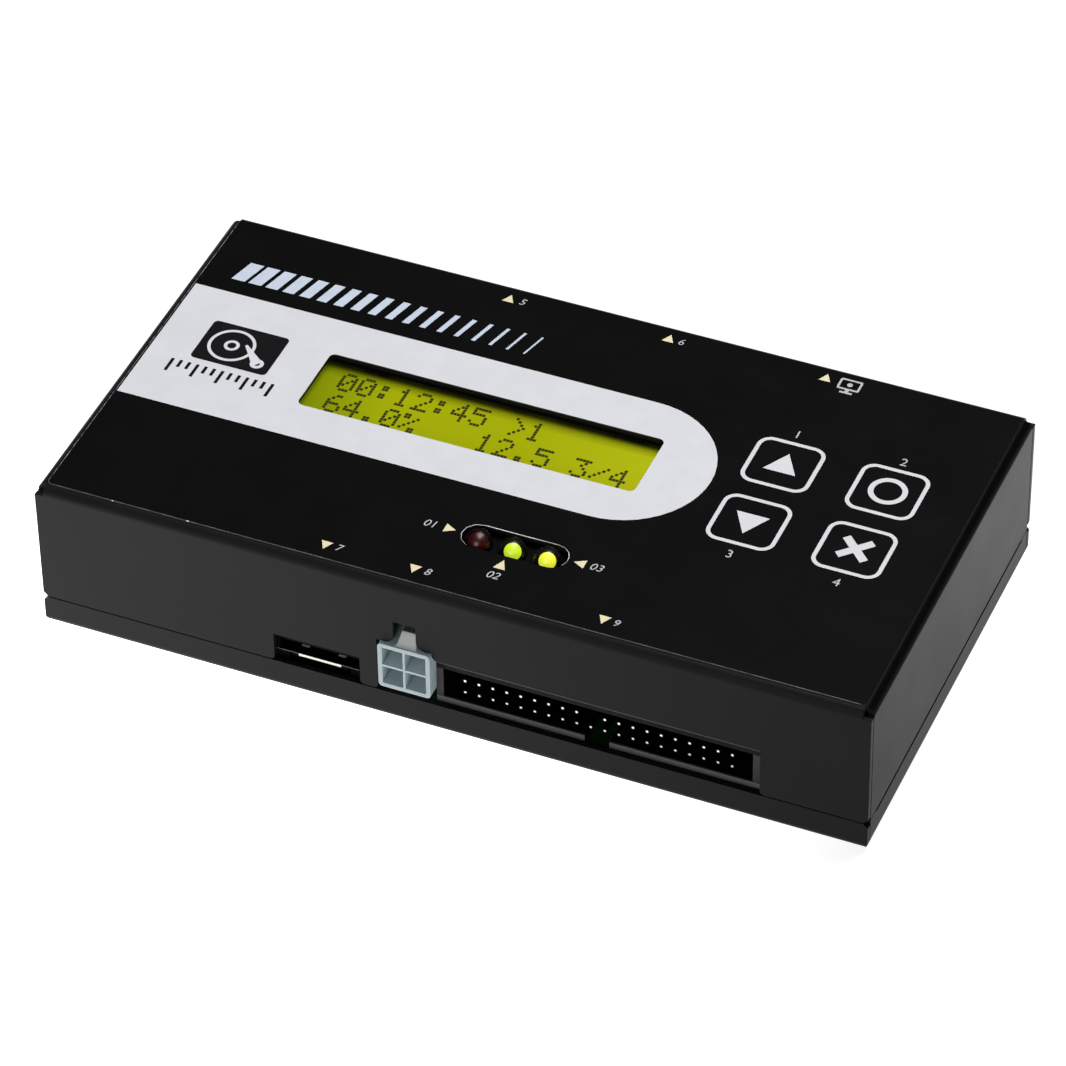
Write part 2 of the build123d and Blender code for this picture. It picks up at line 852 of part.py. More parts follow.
with BuildPart() as link_sockets:
    for row in link_rows:
        block(*row_span(row), (board_top, board_top + link_socket_height))
        well = link_pin + 2 * tail_slack
        low = pin_foot - part_gap
        square_rods(row, well, low, board_top + link_socket_height, Mode.SUBTRACT)
save(link_sockets, "link_sockets")

# Posts pressed into the cover, spacers pressed into the tray, and the screws
with BuildPart() as cover_posts:
    with BuildSketch(Plane.XY.offset(board_top)) as hexagons:
        with Locations(*post_places):
            RegularPolygon(post_radius, 6)
    extrude(amount=cover_under - board_top)
    rods(post_places, thread_bore_radius, board_top, board_top + post_bore_depth, Mode.SUBTRACT)
save(cover_posts, "cover_posts")

with BuildPart() as board_spacers:
    rods(post_places + side_places, spacer_radius, sheet, board_level)
    rods(post_places + side_places, thread_bore_radius, sheet, board_level, Mode.SUBTRACT)
save(board_spacers, "board_spacers")

with BuildPart() as case_screws:
    cone = countersink_radius - screw_radius - running_gap
    for x, y in post_places:
        with BuildSketch(upright(x, y, 0)) as half_screw:
            with BuildLine():
                Polyline(
                    (0, running_gap),
                    (countersink_radius - 2 * running_gap, running_gap),
                    (screw_radius, cone),
                    (screw_radius, board_top + screw_grip),
                    (0, board_top + screw_grip),
                    close=True,
                )
            make_face()
        revolve(axis=Axis((x, y, 0), (0, 0, 1)))
    cross_recess(post_places, running_gap, -1)
save(case_screws, "case_screws")

with BuildPart() as board_screws:
    rods(side_places, pan_head_radius, board_top, board_top + pan_head_height)
    fillet(board_screws.edges().group_by(Axis.Z)[-1], radius=pan_head_height / 3)
    rods(side_places, screw_radius, sheet, board_top)
    cross_recess(side_places, board_top + pan_head_height, 1)
save(board_screws, "board_screws")

panel_post_places = list(panel_fixings) + module_places
with BuildPart() as panel_posts:
    with BuildSketch(Plane.XY.offset(panel_top)) as small_hexagons:
        with Locations(*panel_post_places):
            RegularPolygon(small_post_radius, 6)
    extrude(amount=panel_drop)
    rods(panel_post_places, small_bore_radius, panel_top, panel_top + small_bore_depth, Mode.SUBTRACT)
save(panel_posts, "panel_posts")

with BuildPart() as panel_screws:
    head_foot = panel_under - small_head_height
    rods(panel_post_places, small_head_radius, head_foot, panel_under)
    rods(panel_post_places, small_screw_radius, panel_under, panel_top + small_screw_grip)
    cross_recess(panel_post_places, head_foot, -1)
save(panel_screws, "panel_screws")

# Forty-position box header
ide_rim = -half_depth + ide_recess
ide_back = ide_rim + ide_depth
ide_middle = board_top + ide_height / 2
ide_floor = ide_rim + ide_cavity_depth
ide_tip = ide_rim + ide_tip_drop
ide_first_x = ide_x - ide_pitch * (ide_columns - 1) / 2
ide_lower_turn = ide_back + ide_tail_gap
ide_rows = (
    (board_top + ide_row_level - ide_pitch / 2, ide_lower_turn, False),
    (board_top + ide_row_level + ide_pitch / 2, ide_lower_turn + ide_pitch, True),
)
ide_pins = [
    (ide_first_x + i * ide_pitch, level, turn)
    for level, turn, keyed in ide_rows
    for i in range(ide_columns)
    if not (keyed and i == ide_blank_column)
]

with BuildPart() as ide_shroud:
    with BuildSketch(facing_front(ide_back)) as shroud_outline:
        with Locations((ide_x, ide_middle)):
            Rectangle(ide_width, ide_height)
    extrude(amount=ide_depth)
    with BuildSketch(facing_front(ide_floor)) as shroud_cavity:
        with Locations((ide_x, board_top + ide_row_level)):
            Rectangle(ide_cavity_width, ide_cavity_height)
    extrude(amount=ide_cavity_depth + overrun, mode=Mode.SUBTRACT)
    with BuildSketch(facing_front(ide_floor)) as shroud_key:
        with Locations((ide_x, board_top + ide_row_level / 2)):
            Rectangle(ide_key_width, ide_row_level)
    extrude(amount=ide_cavity_depth + overrun, mode=Mode.SUBTRACT)
    with BuildSketch(facing_front(ide_back)) as pin_holes:
        with Locations(*[(x, level) for x, level, turn in ide_pins]):
            Rectangle(ide_pin + 2 * hair, ide_pin + 2 * hair)
    extrude(amount=ide_back - ide_floor, mode=Mode.SUBTRACT)
save(ide_shroud, "ide_shroud")

with BuildPart() as ide_header_pins:
    for x, level, turn in ide_pins:
        bent_pin(x, ide_tip, level, turn, tail_end, ide_pin, ide_pin)
save(ide_header_pins, "ide_header_pins")

# Four-way drive power header
power_front = -half_depth - connector_reach
power_back = power_front + power_depth
power_foot_level = board_top + power_level
power_middle = power_foot_level + power_size / 2
power_top = power_foot_level + power_size
power_cell_back = power_front + power_cell_depth
power_pins = [
    (power_x + side * power_pitch / 2, power_middle + row * power_pitch / 2, power_back + tail)
    for row, tail in ((-1, power_pin), (1, power_pin + power_pitch))
    for side in (-1, 1)
]

latch_x = power_x + latch_shift
latch_half = latch_width / 2
latch_foot_half = latch_half + latch_foot
latch_sunk = power_top - power_corner
latch_top = power_top + latch_height

with BuildPart() as power_latch:
    with BuildSketch(Plane.YZ.offset(latch_x - latch_foot_half)) as latch_ramp:
        with BuildLine():
            Polyline(
                (power_front + latch_front, latch_sunk),
                (power_front + latch_front, power_top),
                (power_front + latch_crest, latch_top),
                (power_front + latch_length, latch_top),
                (power_front + latch_length, latch_sunk),
                close=True,
            )
        make_face()
    extrude(amount=2 * latch_foot_half)
    with BuildSketch(facing_front(power_front + latch_length)) as latch_face:
        with BuildLine():
            Polyline(
                (latch_x - latch_foot_half, latch_sunk),
                (latch_x - latch_foot_half, power_top),
                (latch_x - latch_half, power_top),
                (latch_x - latch_crest_width / 2, latch_top),
                (latch_x + latch_crest_width / 2, latch_top),
                (latch_x + latch_half, power_top),
                (latch_x + latch_foot_half, power_top),
                (latch_x + latch_foot_half, latch_sunk),
                close=True,
            )
        make_face()
        for side in (-1, 1):
            fillet(near(latch_face, latch_x + side * latch_half, power_top), radius=latch_flare)
    extrude(amount=latch_length, mode=Mode.INTERSECT)

with BuildPart() as drive_power_housing:
    with BuildSketch(facing_front(power_back)) as power_outline:
        with Locations((power_x, power_middle)):
            Rectangle(power_size, power_size)
        fillet(power_outline.vertices(), radius=power_corner)
    extrude(amount=power_depth)
    add(power_latch.part)
    for side in (-1, 1):
        outer = power_x + side * power_size / 2
        inner = outer - side * power_foot
        foot_x = sorted((outer, inner))
        foot_y = (power_back - power_foot_length, power_back)
        block(foot_x, foot_y, (board_top, power_foot_level + power_corner))
    with BuildSketch(facing_front(power_cell_back)) as cells:
        with Locations((power_x, power_middle)):
            with GridLocations(power_pitch, power_pitch, 2, 2):
                Rectangle(power_cell, power_cell)
    extrude(amount=power_cell_depth + overrun, mode=Mode.SUBTRACT)
    with BuildSketch(facing_front(power_back)) as cell_holes:
        with Locations(*[(x, level) for x, level, turn in power_pins]):
            Rectangle(power_pin + 2 * hair, power_pin + 2 * hair)
    extrude(amount=power_depth - power_cell_depth, mode=Mode.SUBTRACT)
save(drive_power_housing, "drive_power_housing")

with BuildPart() as drive_power_pins:
    for x, level, turn in power_pins:
        bent_pin(x, power_front + power_pin_drop, level, turn, tail_end, power_pin, power_pin)
save(drive_power_pins, "drive_power_pins")

# Seven-way drive data plug
sata_front = -half_depth + sata_recess
sata_back = sata_front + sata_depth
sata_mouth_back = sata_front + sata_mouth_depth
sata_mouth_half = sata_width / 2 - sata_wall
shelf_low = board_top + sata_shelf_level
shelf_high = shelf_low + sata_shelf
sata_contact_level = shelf_low - sata_contact / 2
sata_first_x = sata_x - sata_pitch * (sata_way_count - 1) / 2
sata_contact_xs = [sata_first_x + i * sata_pitch for i in range(sata_way_count)]
insert_back = sata_front + sata_insert_length
insert_low = shelf_low + sata_insert_rim
insert_high = shelf_high - sata_insert_rim
sata_mouth_top = board_top + sata_height - sata_wall

with BuildPart() as sata_housing:
    with BuildSketch(facing_front(sata_back)) as sata_outline:
        with Locations((sata_x, board_top + sata_height / 2)):
            Rectangle(sata_width, sata_height)
    extrude(amount=sata_depth)
    with BuildSketch(facing_front(sata_mouth_back)) as sata_mouth:
        with BuildLine():
            shelf_half = sata_shelf_width / 2
            rail = sata_mouth_half - sata_rail_width
            floor = board_top + sata_floor
            rail_top = shelf_high - sata_rail_drop
            Polyline(
                (sata_x - sata_mouth_half, rail_top),
                (sata_x - sata_mouth_half, sata_mouth_top),
                (sata_x + sata_mouth_half, sata_mouth_top),
                (sata_x + sata_mouth_half, rail_top),
                (sata_x + rail, rail_top),
                (sata_x + rail, floor),
                (sata_x - rail, floor),
                (sata_x - rail, rail_top),
                close=True,
            )
        make_face()
        with Locations((sata_x, (shelf_low + shelf_high) / 2)):
            Rectangle(sata_shelf_width, sata_shelf, mode=Mode.SUBTRACT)
    extrude(amount=sata_mouth_depth + overrun, mode=Mode.SUBTRACT)
    block(
        (sata_x - sata_insert_width / 2, sata_x + sata_insert_width / 2),
        (sata_front - overrun, insert_back),
        (insert_low, insert_high),
        Mode.SUBTRACT,
    )
    block(
        (sata_x - sata_mouth_half, sata_x + sata_mouth_half),
        (sata_front - overrun, sata_front + sata_wall / 2),
        (sata_mouth_top - sata_wall, board_top + sata_height + overrun),
        Mode.SUBTRACT,
    )
    for x in sata_contact_xs:
        block(
            (x - sata_contact_width / 2 - hair, x + sata_contact_width / 2 + hair),
            (sata_mouth_back - hair, sata_back + overrun),
            (shelf_low - sata_contact - hair, shelf_low + hair),
            Mode.SUBTRACT,
        )
save(sata_housing, "sata_housing")

with BuildPart() as sata_insert:
    block(
        (sata_x - sata_insert_width / 2, sata_x + sata_insert_width / 2),
        (sata_front, insert_back),
        (insert_low, insert_high - hair),
    )
save(sata_insert, "sata_insert")

with BuildPart() as sata_contacts:
    for x in sata_contact_xs:
        bent_pin(
            x,
            insert_back,
            sata_contact_level,
            sata_back + sata_contact,
            board_top,
            sata_contact_width,
            sata_contact,
        )
save(sata_contacts, "sata_contacts")

with BuildPart() as sata_ground_tabs:
    for side in (-1, 1):
        x = sata_x + side * sata_tab_pitch / 2
        block(
            (x - sata_tab_width / 2, x + sata_tab_width / 2),
            (sata_front + sata_tab_inset, sata_front + sata_tab_inset + sata_tab_length),
            (shelf_high, shelf_high + sata_tab_height),
        )
save(sata_ground_tabs, "sata_ground_tabs")

# Computer socket
usb_front = half_depth + connector_reach
usb_back = usb_front - usb_depth
usb_middle = board_top + usb_height / 2
usb_mouth_back = usb_front - usb_mouth_depth
usb_rear_wall = usb_back + usb_sheet
usb_contact_lines = [
    (
        usb_x + side * usb_contact_pitch / 2,
        usb_middle + row * (usb_tongue_height / 2 + usb_contact / 2),
        usb_rear_wall + tail,
    )
    for row, tail in ((-1, 2 * usb_tail_pitch), (1, usb_tail_pitch))
    for side in (-1, 1)
]

with BuildPart() as usb_shell:
    with BuildSketch(facing_front(usb_front)) as shell_outline:
        with Locations((usb_x, usb_middle)):
            RectangleRounded(usb_width, usb_height, usb_corner)
    extrude(amount=usb_depth)
    with BuildSketch(facing_front(usb_front)) as shell_inside:
        with Locations((usb_x, usb_middle)):
            RectangleRounded(
                usb_width - 2 * usb_sheet, usb_height - 2 * usb_sheet, usb_corner - usb_sheet
            )
    extrude(amount=usb_depth - usb_sheet, mode=Mode.SUBTRACT)
    block(
        (usb_x - usb_width / 2 + 2 * usb_sheet, usb_x + usb_width / 2 - 2 * usb_sheet),
        (usb_back - overrun, usb_rear_wall + 3 * usb_tail_pitch),
        (board_top - overrun, usb_middle - usb_tongue_height),
        Mode.SUBTRACT,
    )
    for side in (-1, 1):
        outer = usb_x + side * usb_width / 2
        leg_x = sorted((outer, outer - side * usb_sheet))
        leg_y = (inner_rear - 2 * usb_leg_length, inner_rear - usb_leg_length)
        block(leg_x, leg_y, (tail_end, board_top + usb_corner))
save(usb_shell, "usb_shell")

with BuildPart() as usb_insert:
    with BuildSketch(facing_front(usb_front - usb_tongue_drop / 2)) as insert_outline:
        with Locations((usb_x, usb_middle)):
            RectangleRounded(
                usb_width - 2 * usb_sheet - 2 * hair,
                usb_height - 2 * usb_sheet - 2 * hair,
                usb_corner - usb_sheet,
            )
    extrude(amount=usb_depth - usb_sheet - usb_tongue_drop / 2 - hair)
    with BuildSketch(facing_front(usb_front)) as insert_mouth:
        with Locations((usb_x, usb_middle)):
            Rectangle(usb_mouth_width, usb_mouth_height)
        chamfer(insert_mouth.vertices().group_by(Axis.Y)[-1], length=usb_mouth_chamfer)
        with Locations((usb_x, usb_middle)):
            Rectangle(usb_tongue_width, usb_tongue_height, mode=Mode.SUBTRACT)
    extrude(amount=usb_mouth_depth, mode=Mode.SUBTRACT)
    for x, level, turn in usb_contact_lines:
        bent_pin(
            x,
            usb_mouth_back + overrun,
            level,
            turn,
            board_top,
            usb_contact_width + 2 * hair,
            usb_contact + 2 * hair,
            Mode.SUBTRACT,
        )
save(usb_insert, "usb_insert")

with BuildPart() as usb_contacts:
    for x, level, turn in usb_contact_lines:
        tip = usb_front - 2 * usb_tongue_drop
        bent_pin(x, tip, level, turn, tail_end, usb_contact_width, usb_contact)
save(usb_contacts, "usb_contacts")

# Power inlet
jack_front = inner_rear - board_margin
jack_back = jack_front - jack_depth
jack_blades = (
    (jack_x, jack_back + jack_blade, jack_blade_width, jack_blade),
    (jack_x, jack_back + jack_depth / 2, jack_blade_width, jack_blade),
    (jack_x - jack_width / 2 + jack_blade, jack_back + jack_depth / 3, jack_blade, jack_blade_width),
)

with BuildPart() as jack_body:
    with BuildSketch(facing_front(jack_front)) as jack_face:
        with Locations((jack_x, board_top + jack_height / 2)):
            Rectangle(jack_width, jack_height)
        fillet(jack_face.vertices().group_by(Axis.Y)[-1], radius=jack_blade)
    extrude(amount=jack_plate)
    with BuildSketch(facing_front(jack_front - jack_plate)) as jack_barrel:
        with Locations((jack_x, jack_level)):
            Circle(jack_barrel_radius)
        with Locations((jack_x, (board_top + jack_level) / 2)):
            Rectangle(2 * jack_barrel_radius, jack_axis_height)
    extrude(amount=jack_depth - jack_plate)
    with BuildSketch(facing_front(jack_front + overrun)) as jack_bore:
        with Locations((jack_x, jack_level)):
            Circle(jack_bore_radius)
    extrude(amount=jack_bore_depth + overrun, mode=Mode.SUBTRACT)
save(jack_body, "jack_body")

with BuildPart() as jack_pin:
    with BuildSketch(facing_front(jack_front - jack_pin_drop)) as pin_section:
        with Locations((jack_x, jack_level)):
            Circle(jack_pin_radius)
    extrude(amount=jack_bore_depth - jack_pin_drop)
    fillet(jack_pin.edges().sort_by(Axis.Y)[-1], radius=jack_pin_radius / 2)
save(jack_pin, "jack_pin")

with BuildPart() as jack_terminals:
    for x, y, wide, deep in jack_blades:
        block((x - wide / 2, x + wide / 2), (y - deep / 2, y + deep / 2), (tail_end, board_top))
save(jack_terminals, "jack_terminals")

# Rocker switch, leaning to its on side at rest
pivot_y = half_depth - pivot_depth
switch_front = inner_rear - board_margin
switch_back = switch_front - switch_depth
pivot_place = Location((switch_x, pivot_y, rocker_level))
rocker_plane = Plane(pivot_place * Plane.YZ.location)
leaning_plane = Plane(pivot_place * Rotation(-rocker_lean, 0, 0) * Plane.YZ.location)

with BuildPart() as rocker:
    with BuildSketch(leaning_plane.offset(-rocker_width / 2)) as rocker_side:
        with BuildLine():
            Polyline(
                (rocker_front, rocker_half_height),
                (rocker_front - rocker_dip, 0),
                (rocker_front, -rocker_half_height),
                (rocker_skirt, -rocker_half_height),
                (0, -rocker_hub_radius),
                (0, rocker_hub_radius),
                (rocker_skirt, rocker_half_height),
                close=True,
            )
        make_face()
        fillet(near(rocker_side, rocker_front, rocker_half_height), radius=rocker_gap)
        fillet(near(rocker_side, rocker_front, -rocker_half_height), radius=rocker_gap)
        Circle(rocker_hub_radius)
    extrude(amount=rocker_width)
    with BuildSketch(leaning_plane.offset(-rocker_width / 2 - rocker_pin_length)) as trunnions:
        Circle(rocker_pin_radius)
    extrude(amount=rocker_width + 2 * rocker_pin_length)
save(rocker, "rocker_button")

with BuildPart() as switch_body:
    with BuildSketch(facing_front(switch_front)) as switch_outline:
        with Locations((switch_x, rocker_level)):
            Rectangle(switch_width, 2 * (sweep_half_height + switch_wall))
    extrude(amount=switch_depth)
    well_half = rocker_width / 2 + rocker_gap
    well_back = pivot_y - rocker_hub_radius - rocker_gap
    block(
        (switch_x - well_half, switch_x + well_half),
        (well_back, switch_front + overrun),
        (rocker_level - sweep_half_height, rocker_level + sweep_half_height),
        Mode.SUBTRACT,
    )
    pocket = rocker_width / 2 + rocker_pin_length + rocker_gap / 2
    with BuildSketch(rocker_plane.offset(-pocket)) as pivot_holes:
        Circle(rocker_pin_radius + running_gap)
    extrude(amount=2 * pocket, mode=Mode.SUBTRACT)
save(switch_body, "switch_body")

switch_blades = [
    (switch_x, switch_back + switch_wall + i * switch_blade_pitch) for i in range(2)
]
with BuildPart() as switch_terminals:
    for x, y in switch_blades:
        block(
            (x - switch_blade_width / 2, x + switch_blade_width / 2),
            (y - switch_blade / 2, y + switch_blade / 2),
            (tail_end, board_top),
        )
save(switch_terminals, "switch_terminals")

# Main board, with a slot for every solder tail
tail_slots = [(x, turn, ide_pin, ide_pin) for x, level, turn in ide_pins]
tail_slots += [(x, turn, power_pin, power_pin) for x, level, turn in power_pins]
tail_slots += [(x, turn, usb_contact_width, usb_contact) for x, level, turn in usb_contact_lines]
tail_slots += list(jack_blades)
tail_slots += [(x, y, switch_blade_width, switch_blade) for x, y in switch_blades]
tail_slots += [
    (
        usb_x + side * (usb_width - usb_sheet) / 2,
        inner_rear - usb_leg_length * 3 / 2,
        usb_sheet,
        usb_leg_length,
    )
    for side in (-1, 1)
]
with BuildPart() as main_board:
    with BuildSketch(Plane.XY.offset(board_level)) as board_outline:
        RectangleRounded(2 * board_half_width, 2 * board_half_depth, board_corner)
        with Locations(*(post_places + side_places)):
            Circle(screw_hole_radius, mode=Mode.SUBTRACT)
        for x, y, wide, deep in tail_slots:
            with Locations((x, y)):
                Rectangle(wide + 2 * tail_slack, deep + 2 * tail_slack, mode=Mode.SUBTRACT)
    extrude(amount=board)
save(main_board, "main_board")

# Processor and its gull-wing leads
chip_x, chip_y = on_board(chip_place_shares)
chip_foot = board_top + chip_stand
with BuildPart() as controller_chip:
    with BuildSketch(Plane.XY.offset(chip_foot)) as chip_outline:
        with Locations((chip_x, chip_y)):
            Rectangle(chip_size, chip_size)
        chamfer(chip_outline.vertices(), length=tact_corner)
    extrude(amount=chip_height)
save(controller_chip, "controller_chip")

with BuildPart() as controller_leads:
    shoulder_level = chip_foot + chip_height / 2
    knee = chip_size / 2 + chip_lead_reach / 2
    toe = chip_size / 2 + chip_lead_reach
    row_start = -chip_lead_pitch * (chip_lead_count - 1) / 2
    for turn in range(4):
        side_plane = Plane(Location((chip_x, chip_y, 0), (0, 0, 90 * turn)) * Plane.YZ.location)
        for i in range(chip_lead_count):
            start = row_start + i * chip_lead_pitch - chip_lead_width / 2
            with BuildSketch(side_plane.offset(start)) as lead:
                with BuildLine():
                    Polyline(
                        (chip_size / 2, shoulder_level),
                        (knee, shoulder_level),
                        (knee, board_top),
                        (toe, board_top),
                        (toe, board_top + chip_lead),
                        (knee + chip_lead, board_top + chip_lead),
                        (knee + chip_lead, shoulder_level + chip_lead),
                        (chip_size / 2, shoulder_level + chip_lead),
                        close=True,
                    )
                make_face()
            extrude(amount=chip_lead_width)
save(controller_leads, "controller_leads")

with BuildPart() as memory_chips:
    with BuildSketch(Plane.XY.offset(board_top)) as memory_outline:
        with Locations(*[on_board(shares) for shares in memory_place_shares]):
            Rectangle(memory_width, memory_length)
    extrude(amount=memory_height)
    chamfer(memory_chips.faces().filter_by(Axis.Z).group_by(Axis.Z)[-1].edges(), length=memory_chamfer)
save(memory_chips, "memory_chips")

coil_places = [
    ((switch_x + jack_x) / 2, 2 * board_half_depth * coil_depth_shares[0]),
    ((jack_x + usb_x) / 2, 2 * board_half_depth * coil_depth_shares[1]),
]
with BuildPart() as power_coils:
    with BuildSketch(Plane.XY.offset(board_top)) as coil_outline:
        with Locations(*coil_places):
            Rectangle(coil_size, coil_size)
        chamfer(coil_outline.vertices(), length=coil_chamfer)
    extrude(amount=coil_height)
save(power_coils, "power_coils")

with BuildPart() as capacitors:
    for shares in capacitor_place_shares:
        x, y = on_board(shares)
        base = capacitor_radius + capacitor_neck
        block((x - base, x + base), (y - base, y + base), (board_top, board_top + capacitor_base))
        with BuildSketch(upright(x, y, board_top)) as half_can:
            with BuildLine():
                Polyline(
                    (0, capacitor_base),
                    (capacitor_radius, capacitor_base),
                    (capacitor_radius, capacitor_neck_level - capacitor_neck),
                    (capacitor_radius - capacitor_neck, capacitor_neck_level),
                    (capacitor_radius, capacitor_neck_level + capacitor_neck),
                    (capacitor_radius, capacitor_height - capacitor_neck),
                    (capacitor_radius - capacitor_neck, capacitor_height),
                    (0, capacitor_height),
                    close=True,
                )
            make_face()
        revolve(axis=Axis((x, y, board_top), (0, 0, 1)))
save(capacitors, "capacitors")

with BuildPart() as crystal_can:
    with BuildSketch(Plane.XY.offset(board_top)) as crystal_flange_outline:
        with Locations(on_board(crystal_place_shares)):
            SlotOverall(crystal_length + crystal_rim, crystal_width + crystal_rim)
    extrude(amount=crystal_flange)
    with BuildSketch(Plane.XY.offset(board_top + crystal_flange)) as crystal_outline:
        with Locations(on_board(crystal_place_shares)):
            SlotOverall(crystal_length - crystal_rim, crystal_width - crystal_rim)
    extrude(amount=crystal_height - crystal_flange)
save(crystal_can, "crystal_can")

with BuildPart() as sounder:
    rods([on_board(sounder_place_shares)], sounder_radius, board_top, board_top + sounder_height)
    chamfer(sounder.edges().group_by(Axis.Z)[-1], length=sounder_edge)
    port_floor = board_top + sounder_height - sounder_port_depth
    port_top = board_top + sounder_height + overrun
    rods([on_board(sounder_place_shares)], sounder_port_radius, port_floor, port_top, Mode.SUBTRACT)
save(sounder, "sounder")
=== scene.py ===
import math

import bmesh
import bpy
from mathutils import Matrix, Vector


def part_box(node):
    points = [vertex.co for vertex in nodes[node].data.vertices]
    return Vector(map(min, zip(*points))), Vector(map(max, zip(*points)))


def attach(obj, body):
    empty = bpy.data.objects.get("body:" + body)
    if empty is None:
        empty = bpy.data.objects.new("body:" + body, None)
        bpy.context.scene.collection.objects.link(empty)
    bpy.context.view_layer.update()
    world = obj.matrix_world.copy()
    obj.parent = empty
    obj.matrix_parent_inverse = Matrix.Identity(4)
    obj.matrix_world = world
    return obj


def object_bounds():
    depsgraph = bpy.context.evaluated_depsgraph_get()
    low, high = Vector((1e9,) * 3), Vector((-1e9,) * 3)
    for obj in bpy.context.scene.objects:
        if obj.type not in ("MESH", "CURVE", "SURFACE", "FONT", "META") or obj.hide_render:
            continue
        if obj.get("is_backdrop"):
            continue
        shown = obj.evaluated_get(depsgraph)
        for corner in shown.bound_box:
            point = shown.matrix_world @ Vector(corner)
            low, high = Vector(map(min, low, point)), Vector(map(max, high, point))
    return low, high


# Looks of the drive erasing station: materials for every solid, the printed
# panel, the lit display and lamps, the cut edges, the room and the camera.
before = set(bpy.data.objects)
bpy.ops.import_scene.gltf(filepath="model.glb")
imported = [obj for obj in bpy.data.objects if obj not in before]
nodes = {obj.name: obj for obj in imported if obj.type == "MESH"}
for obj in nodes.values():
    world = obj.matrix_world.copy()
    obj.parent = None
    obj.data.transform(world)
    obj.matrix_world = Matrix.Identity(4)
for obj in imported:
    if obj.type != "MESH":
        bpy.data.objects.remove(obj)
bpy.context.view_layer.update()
MM = 0.001

# Places on the panel, in millimetres, measured on the top plane of the case
PRINT_RISE = 0.015
BAND_LEFT, BAND_RIGHT = -73.7, 30.45
BAND_FRONT, BAND_REAR = -12.4, 19.5
KEY_RING = 12.35
KEY_RING_LINE = 0.74
KEY_RING_CORNER = 2.5
TITLE_LEFT, TITLE_RIGHT = -68.5, -10.7
TITLE_FRONT, TITLE_REAR = 23.1, 28.4
TITLE_BARS = 18
TITLE_THICK, TITLE_THIN = 2.6, 0.35
TITLE_LEAN = 15
TILE_LEFT, TILE_RIGHT = -66.1, -51.6
TILE_FRONT, TILE_REAR = 0.7, 11.5
SCALE_LEFT, SCALE_RIGHT = -68.7, -49.0
SCALE_FRONT, SCALE_REAR = -4.3, -0.8
TICKS, TICK_WIDTH, LONG_TICK_EVERY, SHORT_TICK = 13, 0.6, 3, 0.55
BAND_STEPS = 24
WINDOW_CORNER = 1.1

# Signs on the keys, in millimetres from the middle of each key
UP_SIGN = ((-2.95, -2.05), (2.95, -2.05), (0, 3.0))
DOWN_SIGN = ((3.0, 2.05), (-3.0, 2.05), (0, -3.1))
OK_SHIFT, OK_OUTER, OK_INNER = 0.15, 3.42, 2.45
CROSS_SHIFT_X, CROSS_SHIFT_Y = 0.05, 0.25
CROSS_REACH, CROSS_WIDTH = 2.95, 1.5

# Drawing on the tile, in millimetres from the disc's middle
TILE_CORNER = 0.9
DISC_SHIFT = -1.6
DISC_OUTER, DISC_INNER = 4.3, 3.7
HUB_OUTER, HUB_INNER = 1.4, 0.8
PIVOT_X, PIVOT_Y = 6.2, -3.0
PIVOT_OUTER, PIVOT_INNER = 1.25, 0.55
PIVOT_FACETS = 24
ARM_FOOT = ((-0.5, -0.9), (0.6, 0.8))
ARM_TIP = ((2.5, 1.2), (2.2, 0.8))

# Arrows by the middle of their base, and the screen sign, in millimetres
ARROW_WIDTH, ARROW_LENGTH, LONG_ARROW_LENGTH = 2.15, 2.0, 2.35
REAR_ARROWS = ((-20.55, 35.3), (9.65, 35.5), (38.8, 35.7))
FRONT_ARROWS = ((-23.5, -34.85), (-7.3, -34.8), (26.8, -34.7))
LEFT_LAMP_ARROW, MIDDLE_LAMP_ARROW, RIGHT_LAMP_ARROW = (-6.7, -24.2), (5.8, -30.45), (18.75, -24.1)
SCREEN_X, SCREEN_Y = 43.35, 36.25
SCREEN_OUTER, SCREEN_INNER = (4.1, 2.9, 0.4), (3.3, 2.1, 0.2)
SCREEN_NECK, SCREEN_FOOT = (43.0, 34.3, 43.7, 34.8), (42.2, 33.8, 44.5, 34.25)
SCREEN_DOT, SCREEN_DOT_FACETS = 0.5, 20

# Cut edges of the film, pale with painted highlight, and painted highlight strips on the data plug's
# front edges, in millimetres
SLOT_WIDTH, SLOT_DEPTH = 19.4, 6.0
SLOT_SHIFT_X, SLOT_SHIFT_Y = 0.35, 0.2
SLOT_EDGE_WIDTHS = (0.03, 0.06, 0.11, 0.1, 0.08, 0.13, 0.14, 0.05, 0.03, 0.11, 0.12, 0.06, 0.03)
SLOT_EDGE_INSET, SLOT_EDGE_MIDDLE, SLOT_EDGE_RISE = 0.01, 0.3, 0.01
SLOT_EDGE_FIRST, SLOT_EDGE_LAST, SLOT_EDGE_FACETS = 250, -35, 5
FILM_LINE = 0.1
FILM_CUT, FILM_CUT_OUTER, FILM_CUT_INNER = 0.8, 0.23, 0.3
LEFT_LINE_CUT = 0.9
EDGE_DEPTH = 0.06
LOW_EDGE, HIGH_EDGE = 0.008, 0.02
CHIPS = ((-47.6, 0.5), (-61.67, 0.3))
CHIP_DEPTH, CHIP_SHIFT, CHIP_CORNER, CHIP_STEPS = 0.18, 0.02, 0.06, 3
SHINE_LEFT_GAP, SHINE_STRIP_GAP, SHINE_RIGHT_GAP = 0.15, 0.05, 0.9
SHINE_FRONT, SHINE_BACK, SHINE_HALF = 0.03, 0.05, 0.06

# Lit cups inside the lamps
CUP_STEPS, CUP_START, CUP_SWEEP = 16, -80, 168
CUP_FACETS = 32
LENS_RADIUS = 2.5
